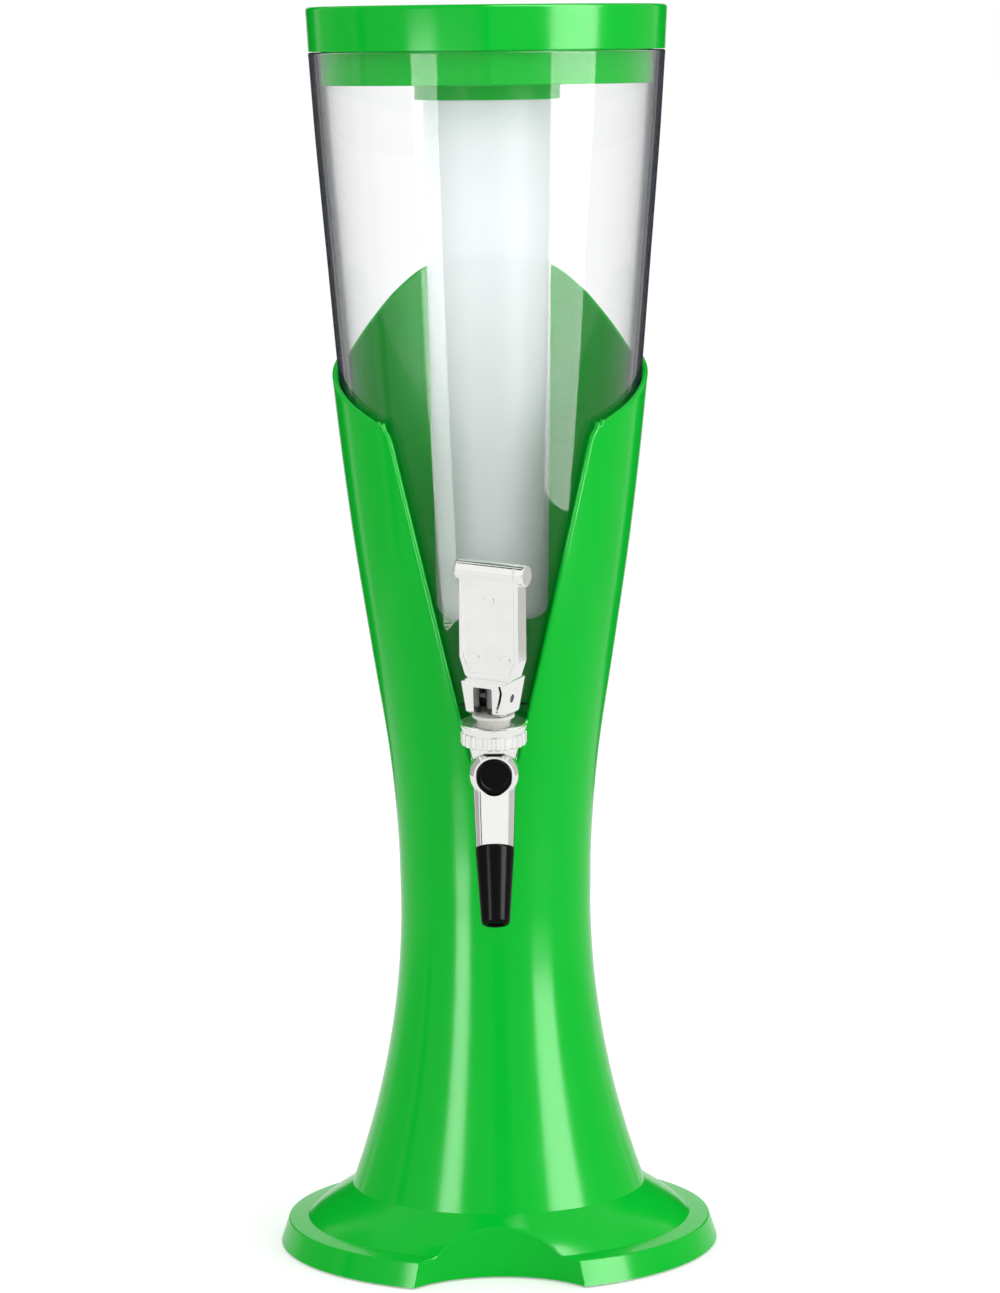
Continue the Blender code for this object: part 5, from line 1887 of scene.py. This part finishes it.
@dataclass
class Tap:
    """Chrome body of the tap with its spout, boss and plug, and the black nozzle."""

    barrel_top: float = 13.2 * MM
    barrel_top_radius: float = 12.2 * MM
    barrel_radius: float = 9.9 * MM
    barrel_rows: int = 6
    bend_rows: int = 14
    spout_rows: int = 10
    spout_length: float = 36.8 * MM
    spout_end_radius: float = 8.65 * MM
    spigot_radius: float = 5.6 * MM
    spigot_length: float = 9 * MM
    spigot_edge: float = 0.5 * MM
    outlet_radius: float = 4.0 * MM
    neck_top: float = 18 * MM
    chamber_radius: float = 7.5 * MM
    seat_depth: float = 5.3 * MM
    flange_radius: float = 10.3 * MM
    flange_thickness: float = 2.6 * MM
    flange_edge: float = 0.5 * MM
    washer_thickness: float = 1.6 * MM
    shank_end: float = 39.0 * MM
    shank_edge: float = 0.6 * MM
    shank_bore: float = 4.2 * MM
    boss_radius: float = 10.8 * MM
    boss_rim: float = 9.1 * MM
    boss_slope: float = 3.2 * MM
    boss_face: float = 13.6 * MM
    boss_edge: float = 0.45 * MM
    boss_shoulder_round: float = 0.9 * MM
    plug_radius: float = 8.0 * MM
    plug_depth: float = 3.6 * MM
    plug_proud: float = 0.5 * MM
    plug_rim: float = 2.3 * MM
    plug_dish: float = 0.5 * MM
    plug_dish_edge: float = 0.3 * MM
    plug_edge: float = 0.7 * MM
    plug_facets: int = 5
    nozzle_length: float = 34.65 * MM
    nozzle_tip_radius: float = 6.3 * MM
    nozzle_tip_round: float = 1.8 * MM
    nozzle_edge: float = 0.5 * MM
    socket_step_edge: float = 0.3 * MM
    socket_mouth_edge: float = 0.2 * MM
    drain_radius: float = 1.1 * MM
    drain_place: float = 16.5 * MM
    drain_depth: float = 2.2 * MM
    facets: int = 6
    sides: int = 72

    def barrel(self) -> bpy.types.Mesh:
        """Barrel and spout in one bent taper.

        Returns:
            The closed taper.
        """
        down = Vector((0, 0, -1))
        spout = Vector((0, -math.sin(FRAMES.spout_angle), -math.cos(FRAMES.spout_angle)))
        bend = self.barrel_radius / 2
        rows = []
        for z in even_steps(self.barrel_top, bend, self.barrel_rows):
            share = (z - bend) / (self.barrel_top - bend)
            radius = self.barrel_radius + (self.barrel_top_radius - self.barrel_radius) * share
            rows.append((Vector((0, 0, z)), down, radius))
        for way in even_steps(0, 1, self.bend_rows)[1:-1]:
            point = Vector((0, 0, bend)) * (1 - way) ** 2 + spout * bend * way**2
            along = (down * (1 - way) + spout * way).normalized()
            rows.append((point, along, self.barrel_radius))
        for way in even_steps(0, 1, self.spout_rows):
            radius = self.barrel_radius + (self.spout_end_radius - self.barrel_radius) * way
            rows.append((spout * (bend + (self.spout_length - bend) * way), spout, radius))
        angles = [2 * math.pi * i / self.sides for i in range(self.sides)]
        side = Vector((1, 0, 0))
        rings = []
        for point, along, radius in rows:
            front = side.cross(along)
            ring = [point + side * radius * math.sin(a) + front * radius * math.cos(a) for a in angles]
            rings.append([FRAMES.tap @ corner for corner in ring])
        return ring_mesh("barrel", rings, capped=True)

    def rod(self, radius: float, low: float, high: float, at: Matrix, soft: float = 0.0) -> bpy.types.Mesh:
        """A round rod along Z of a frame.

        Args:
            radius: its radius.
            low: where it starts.
            high: where it ends.
            at: the frame.
            soft: radius of its upper edge.

        Returns:
            The mesh.
        """
        outline = rounded([(0, high, 0), (radius, high, soft), (radius, low, 0), (0, low, 0)])
        return turned("rod", outline, self.sides, at)

    def build_body(self) -> None:
        """Cast the body and bore it through."""
        tap, shank, spout = FRAMES.tap, FRAMES.shank, FRAMES.spout
        flange_face = FRAMES.stem_to_wall - FRAMES.key_proud - 2 * TOUCH_GAP - self.washer_thickness
        flange_back = flange_face - self.flange_thickness
        spigot_end = self.spout_length + self.spigot_length
        solids = [
            self.rod(FRAMES.neck_radius, self.barrel_top - OVERLAP, self.neck_top, tap),
            self.rod(FRAMES.shank_radius, 0, self.shank_end, shank, self.shank_edge),
            self.rod(self.flange_radius, flange_back, flange_face, shank, self.flange_edge),
            self.boss(),
            self.rod(self.spigot_radius, self.spout_length - OVERLAP, spigot_end, spout, self.spigot_edge),
        ]
        plug_floor = self.boss_face - self.plug_depth
        cuts = [
            self.rod(self.chamber_radius, -self.seat_depth, self.neck_top + OVERRUN, tap),
            self.rod(self.shank_bore, 0, self.shank_end + OVERRUN, shank),
            self.rod(self.outlet_radius, 0, spigot_end + OVERRUN, spout),
            self.rod(self.plug_radius + TOUCH_GAP, plug_floor, self.boss_face + OVERRUN, FRAMES.boss),
            self.drain(),
        ]
        mesh = combined(combined(self.barrel(), solids, Step.JOIN), cuts, Step.CUT)
        piece("tap_casting", mesh, Slot.CHROME, Body.TANK, ("tap_body",))

    def boss(self) -> bpy.types.Mesh:
        """Round boss on the front, with a sloping rim.

        Returns:
            The boss.
        """
        corners = [
            (0, self.boss_face, 0),
            (self.boss_rim, self.boss_face, self.boss_edge),
            (self.boss_radius, self.boss_face - self.boss_slope, self.boss_shoulder_round),
            (self.boss_radius, 0, 0),
            (0, 0, 0),
        ]
        return turned("boss", rounded(corners, self.facets), self.sides, FRAMES.boss)

    def drain(self) -> bpy.types.Mesh:
        """Cutter for the small hole in the front of the spout, just under the boss.

        Returns:
            The cutter.
        """
        at = FRAMES.spout @ Matrix.Translation((0, 0, self.drain_place)) @ Matrix.Rotation(math.pi / 2, 4, "X")
        middle = self.barrel_radius
        return self.rod(self.drain_radius, middle - self.drain_depth, middle + OVERRUN, at)

    def build_plug(self) -> None:
        """Turn the dished plug of the front boss."""
        face = self.boss_face + self.plug_proud
        floor = face - self.plug_dish
        back = self.boss_face - self.plug_depth + TOUCH_GAP
        dish = self.plug_radius - self.plug_rim
        corners = [
            (0, floor, 0),
            (dish, floor, self.plug_dish_edge),
            (dish + self.plug_dish, face, self.plug_dish_edge),
            (self.plug_radius, face, self.plug_edge),
            (self.plug_radius, back, 0),
            (0, back, 0),
        ]
        mesh = turned("plug", rounded(corners, self.plug_facets), self.sides, FRAMES.boss)
        piece("plug_cap", mesh, Slot.BLACK, Body.TANK, ("front_plug",))

    def build_nozzle(self) -> None:
        """Turn the black nozzle over the spigot."""
        start = self.spout_length + TOUCH_GAP
        end = start + self.nozzle_length
        step = self.spout_length + self.spigot_length + TOUCH_GAP
        socket = self.spigot_radius + TOUCH_GAP
        corners = [
            (self.spout_end_radius, start, self.nozzle_edge),
            (self.nozzle_tip_radius, end, self.nozzle_tip_round),
            (self.outlet_radius, end, self.nozzle_edge),
            (self.outlet_radius, step, self.socket_step_edge),
            (socket, step, self.socket_step_edge),
            (socket, start, self.socket_mouth_edge),
        ]
        mesh = turned("nozzle", rounded(corners, self.facets, closed=True), self.sides, FRAMES.spout)
        piece("nozzle_sleeve", mesh, Slot.BLACK, Body.TANK, ("spout_nozzle",))

    def build(self) -> None:
        """Make the tap's fixed pieces."""
        self.build_body()
        self.build_plug()
        self.build_nozzle()


@dataclass
class Collar:
    """The ribbed nut on top of the tap."""

    radius: float = 15.5 * MM
    band_bottom_radius: float = 14.5 * MM
    rib_radius: float = 14.8 * MM
    bottom: float = 11.7 * MM
    top: float = 22.0 * MM
    lip: float = 1.7 * MM
    bevel_run: float = 1.2 * MM
    bevel_drop: float = 0.7 * MM
    groove_depth: float = 0.5 * MM
    groove_height: float = 0.7 * MM
    foot_bevel: float = 0.6 * MM
    neck_bottom: float = 13.5 * MM
    skirt_radius: float = 12.7 * MM
    hub_radius: float = 7.5 * MM
    ribs: int = 22
    rib_depth: float = 1.3 * MM
    rib_low: float = 12.4 * MM
    rib_high: float = 17.4 * MM
    ribbed_depth: float = 0.75 * MM
    ribbed_margin: float = 0.1 * MM
    edge: float = 0.4 * MM
    soft_edge: float = 0.3 * MM
    rib_edge: float = 0.2 * MM
    fine_edge: float = 0.1 * MM
    facets: int = 3
    steps_per_rib: int = 12

    def outline(self) -> Outline:
        """Section of the nut: a flaring plain band over a ribbed one, and the cavity for the tap's neck.

        Returns:
            Points as (radius, height), all the way round.
        """
        cavity = FRAMES.neck_radius + TOUCH_GAP
        hole = self.hub_radius + TOUCH_GAP
        groove = self.rib_high + self.groove_height / 2
        corners = [
            (hole, self.top, self.soft_edge),
            (self.radius - self.bevel_run, self.top, self.soft_edge),
            (self.radius, self.top - self.bevel_drop, self.edge),
            (self.band_bottom_radius, self.rib_high + self.groove_height, self.soft_edge),
            (self.band_bottom_radius - self.groove_depth, groove, self.fine_edge),
            (self.rib_radius, self.rib_high, self.rib_edge),
            (self.rib_radius, self.rib_low, self.fine_edge),
            (self.rib_radius - self.foot_bevel, self.bottom, self.soft_edge),
            (self.skirt_radius, self.bottom, self.rib_edge),
            (self.skirt_radius, self.neck_bottom, self.fine_edge),
            (cavity, self.neck_bottom, self.fine_edge),
            (cavity, self.top - self.lip, self.fine_edge),
            (hole, self.top - self.lip, self.fine_edge),
        ]
        return rounded(corners, self.facets, closed=True)

    def build(self) -> None:
        """Make the nut."""
        count = self.ribs * self.steps_per_rib
        ribbed_radius = self.rib_radius - self.ribbed_depth
        ribbed_top = self.rib_high + self.ribbed_margin
        rings = []
        for radius, height in self.outline():
            ribbed = radius > ribbed_radius and height < ribbed_top
            ring = []
            for i in range(count):
                angle = 2 * math.pi * i / count
                crest = 0.5 + 0.5 * math.cos(self.ribs * angle)
                reach = radius - (self.rib_depth * min(2 * crest**2, 1.0) if ribbed else 0)
                ring.append(FRAMES.tap @ Vector((reach * math.sin(angle), -reach * math.cos(angle), height)))
            rings.append(ring)
        piece("collar_knurl", ring_mesh("collar", rings), Slot.CHROME, Body.TANK, ("collar_nut",))


@dataclass
class Lever:
    """The chrome lever: forked cam foot, framed blade and T-bar."""

    cam_reach: float = 7.6 * MM
    cam_facets: int = 16
    swing: float = 40 * DEGREE
    foot_bottom: float = 24.0 * MM
    foot_top: float = 42.0 * MM
    foot_top_width: float = 21.5 * MM
    foot_bottom_width: float = 15.8 * MM
    foot_top_depth: float = 21 * MM
    foot_bottom_depth: float = 18 * MM
    bar_height: float = 90.0 * MM
    blade_width: float = 29.5 * MM
    neck_width: float = 24 * MM
    neck_rise: float = 9 * MM
    neck_edge: float = 0.8 * MM
    blade_thickness: float = 8.6 * MM
    border: float = 2.2 * MM
    panel_depth: float = 1.1 * MM
    bar_radius: float = 5.0 * MM
    bar_length: float = 35 * MM
    bar_end_round: float = 1.9 * MM
    bar_facets: int = 6
    bar_sides: int = 64
    groove_width: float = 0.8 * MM
    groove_depth: float = 0.5 * MM
    groove_edge: float = 0.2 * MM
    groove_floor_edge: float = 0.1 * MM
    cap_edge: float = 0.9 * MM
    cap_length: float = 4.5 * MM
    fork_width: float = 9.0 * MM
    fork_top: float = 39.4 * MM
    fork_back: float = 6.0 * MM
    pin_radius: float = 1.6 * MM
    small_sides: int = 40
    bump_radius: float = 2.6 * MM
    bump_height: float = 0.5 * MM
    bump_edge: float = 0.25 * MM
    bumps: Shares = ((0.0, -12.4 * MM), (-7.8 * MM, -39.2 * MM), (7.8 * MM, -39.2 * MM))
    edge: float = 0.55 * MM
    slit_width: float = 1.1 * MM
    slit_depth: float = 7.0 * MM
    slit_line: Shares = (
        (8.6 * MM, 41.2 * MM),
        (9.3 * MM, 38.0 * MM),
        (8.6 * MM, 34.6 * MM),
        (6.9 * MM, 29.0 * MM),
    )

    def cam(self) -> Outline:
        """Underside of the foot, which lifts the stem as the lever tips.

        Returns:
            Points as (depth, height), front to back.
        """
        per_radian = FRAMES.lift / self.swing
        points = []
        for angle in even_steps(self.swing, 0, self.cam_facets):
            reach = self.cam_reach + per_radian * angle
            depth = reach * math.sin(angle) + per_radian * math.cos(angle)
            drop = reach * math.cos(angle) - per_radian * math.sin(angle)
            points.append((-depth, FRAMES.pin_height - drop))
        return points + [(self.foot_bottom_depth / 2, FRAMES.pin_height - self.cam_reach)]

    @staticmethod
    def both_sides(right: Outline) -> Outline:
        """An outline from its right half, bottom to top."""
        return right + [(-x, z) for x, z in reversed(right)]

    def front_cut(self, right: Outline, back: float) -> bpy.types.Mesh:
        """A cutter from the front.

        Args:
            right: right half of its outline, bottom to top.
            back: how far behind the lever's middle it reaches.

        Returns:
            The cutter.
        """
        front = self.foot_top_depth / 2 + OVERRUN
        return extruded("cut", self.both_sides(right), -back, front, FRONT_VIEW)

    def bar(self) -> bpy.types.Mesh:
        """The T-bar, with a rounded left end, a groove and a cap on the right.

        Returns:
            The bar.
        """
        half = self.bar_length / 2
        radius = self.bar_radius
        groove = half - self.cap_length
        deep = radius - self.groove_depth
        corners = [
            (0, half, 0),
            (radius, half, self.cap_edge),
            (radius, groove + self.groove_width / 2, self.groove_edge),
            (deep, groove + self.groove_width / 4, self.groove_floor_edge),
            (deep, groove - self.groove_width / 4, self.groove_floor_edge),
            (radius, groove - self.groove_width / 2, self.groove_edge),
            (radius, -half, self.bar_end_round),
            (0, -half, 0),
        ]
        at = Matrix.Translation((0, 0, self.bar_height)) @ Matrix.Rotation(math.pi / 2, 4, "Y")
        return turned("bar", rounded(corners, self.bar_facets), self.bar_sides, at)

    def slit(self) -> bpy.types.Mesh:
        """Cutter for the bent slit in the front of the foot, beside the fork.

        Returns:
            The cutter.
        """
        half = self.slit_width / 2
        line = self.slit_line
        outline = [(x + half, z) for x, z in line] + [(x - half, z) for x, z in reversed(line)]
        front = self.foot_top_depth / 2
        return extruded("slit", outline, front - self.slit_depth, front + OVERRUN, FRONT_VIEW)

    def blank(self) -> bpy.types.Mesh:
        """Foot and blade, as their side view and their front view share them.

        Returns:
            The blank.
        """
        thick, deep, wide = self.blade_thickness / 2, self.foot_top_depth, self.bar_length / 2
        side = self.cam() + [(deep / 2, self.foot_top), (thick, self.foot_top), (thick, self.bar_height)]
        side += [(-thick, self.bar_height), (-thick, self.foot_top), (-deep / 2, self.foot_top)]
        front = [
            (self.foot_bottom_width / 2, self.foot_bottom),
            (self.foot_top_width / 2, self.foot_top),
            (self.neck_width / 2, self.foot_top + self.neck_edge),
            (self.blade_width / 2, self.foot_top + self.neck_rise),
            (self.blade_width / 2, self.bar_height),
        ]
        side_solid = extruded("side", side, -wide, wide, SIDE_VIEW)
        front_solid = extruded("front", self.both_sides(front), -deep, deep, FRONT_VIEW)
        return combined(side_solid, [front_solid], Step.SHARED)

    def panel(self) -> bpy.types.Mesh:
        """Cutter for the sunk panel of the blade.

        Returns:
            The cutter.
        """
        x = self.blade_width / 2 - self.border
        right = [
            (self.neck_width / 2 - self.border, self.foot_top + self.border),
            (x, self.foot_top + self.neck_rise),
            (x, self.bar_height - self.bar_radius - self.border / 2),
        ]
        return self.front_cut(right, self.panel_depth - self.blade_thickness / 2)

    def fork(self) -> bpy.types.Mesh:
        """Cutter between the two arms of the foot.

        Returns:
            The cutter.
        """
        x = self.fork_width / 2
        return self.front_cut([(x, self.foot_bottom - OVERRUN), (x, self.fork_top)], self.fork_back)

    def panel_bumps(self) -> list[bpy.types.Mesh]:
        """Small round marks on the panel.

        Returns:
            The marks.
        """
        face = self.blade_thickness / 2 - self.panel_depth + self.bump_height
        outline = rounded([(0, face, 0), (self.bump_radius, face, self.bump_edge), (self.bump_radius, 0, 0), (0, 0, 0)])
        meshes = []
        for x, drop in self.bumps:
            at = Matrix.Translation((x, 0, self.bar_height + drop)) @ FRONT_VIEW
            meshes.append(turned("bump", outline, self.small_sides, at))
        return meshes

    def pin_hole(self) -> bpy.types.Mesh:
        """Cutter for the hole of the pin.

        Returns:
            The cutter.
        """
        radius, span = self.pin_radius + TOUCH_GAP, self.foot_top_width
        at = Matrix.Translation((0, 0, FRAMES.pin_height)) @ Matrix.Rotation(math.pi / 2, 4, "Y")
        return turned("hole", [(0, span), (radius, span), (radius, -span), (0, -span)], self.small_sides, at)

    def build(self) -> None:
        """Make the lever about its own axis, and set it in place."""
        body = combined(self.blank(), [self.panel(), self.fork()], Step.CUT)
        body = soft_edges(body, self.edge)
        body = combined(body, [self.bar()] + self.panel_bumps(), Step.JOIN)
        body = combined(body, [self.pin_hole(), self.slit()], Step.CUT)
        body.transform(FRAMES.lever)
        piece("lever_handle", body, Slot.CHROME, Body.LEVER, ("lever",))


@dataclass
class Spring:
    """The coil round the stem, which shortens as the stem lifts."""

    radius: float = 3.9 * MM
    wire: float = 0.45 * MM
    low: float = 0.4 * MM
    high: float = 9.7 * MM
    turns: int = 5
    steps: int = 28
    wire_sides: int = 10

    def coil(self) -> bpy.types.Mesh:
        """Wire wound about the stem's axis.

        Returns:
            The closed wire.
        """
        count = self.turns * self.steps
        sides = [2 * math.pi * side / self.wire_sides for side in range(self.wire_sides)]
        rise = self.high - self.low - 2 * self.wire
        slope = math.atan2(rise / self.turns, 2 * math.pi * self.radius)
        rings = []
        for i in range(count + 1):
            turn = 2 * math.pi * i / self.steps
            out = Vector((math.cos(turn), math.sin(turn), 0))
            along = Vector((-math.sin(turn) * math.cos(slope), math.cos(turn) * math.cos(slope), math.sin(slope)))
            up = along.cross(out)
            middle = out * self.radius + Vector((0, 0, self.low + self.wire + rise * i / count))
            rings.append([FRAMES.tap @ (middle + (out * math.cos(a) + up * math.sin(a)) * self.wire) for a in sides])
        return ring_mesh("coil", rings, capped=True)

    def build(self) -> None:
        """Wind the coil, and give it a mesh of its own."""
        coil = piece("spring_coil", self.coil(), Slot.STEEL, Body.TANK, ("stem_spring",))
        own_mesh(coil)


@dataclass(frozen=True)
class InnerWorks:
    """CAD nodes that keep their own shape, and the finish of each."""

    finishes: tuple[tuple[Slot, tuple[str, ...]], ...] = (
        (Slot.RUBBER, ("rubber_foot_1", "rubber_foot_2", "rubber_foot_3", "rubber_foot_4")),
        (Slot.RUBBER, ("bonnet_o_ring", "stem_seat")),
        (Slot.SILICONE, ("tap_outer_washer", "tap_inner_washer")),
        (Slot.NYLON, ("tap_lock_nut", "bonnet", "saddle_washer")),
        (Slot.STEEL, ("stem", "lever_pin")),
    )

    def build(self) -> None:
        """Dress the CAD nodes that stay."""
        for slot, names in self.finishes:
            for name in names:
                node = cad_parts[name]
                node.data.materials.clear()
                node.data.materials.append(Paints.get(slot))
                log.info("%s: kept node in %s", name, slot.value)


def main() -> None:
    """Build the studio and the tower."""
    PhotoCamera().build()
    Studio().build()
    holster = Holster()
    holster.build()
    Tank().build(holster)
    lid = Lid()
    lid.build()
    IceTube().build(lid)
    Tap().build()
    Collar().build()
    Lever().build()
    Spring().build()
    InnerWorks().build()


if __name__ == "__main__":
    logging.basicConfig(level=logging.INFO, format="%(name)s %(message)s", stream=sys.stdout)
    main()
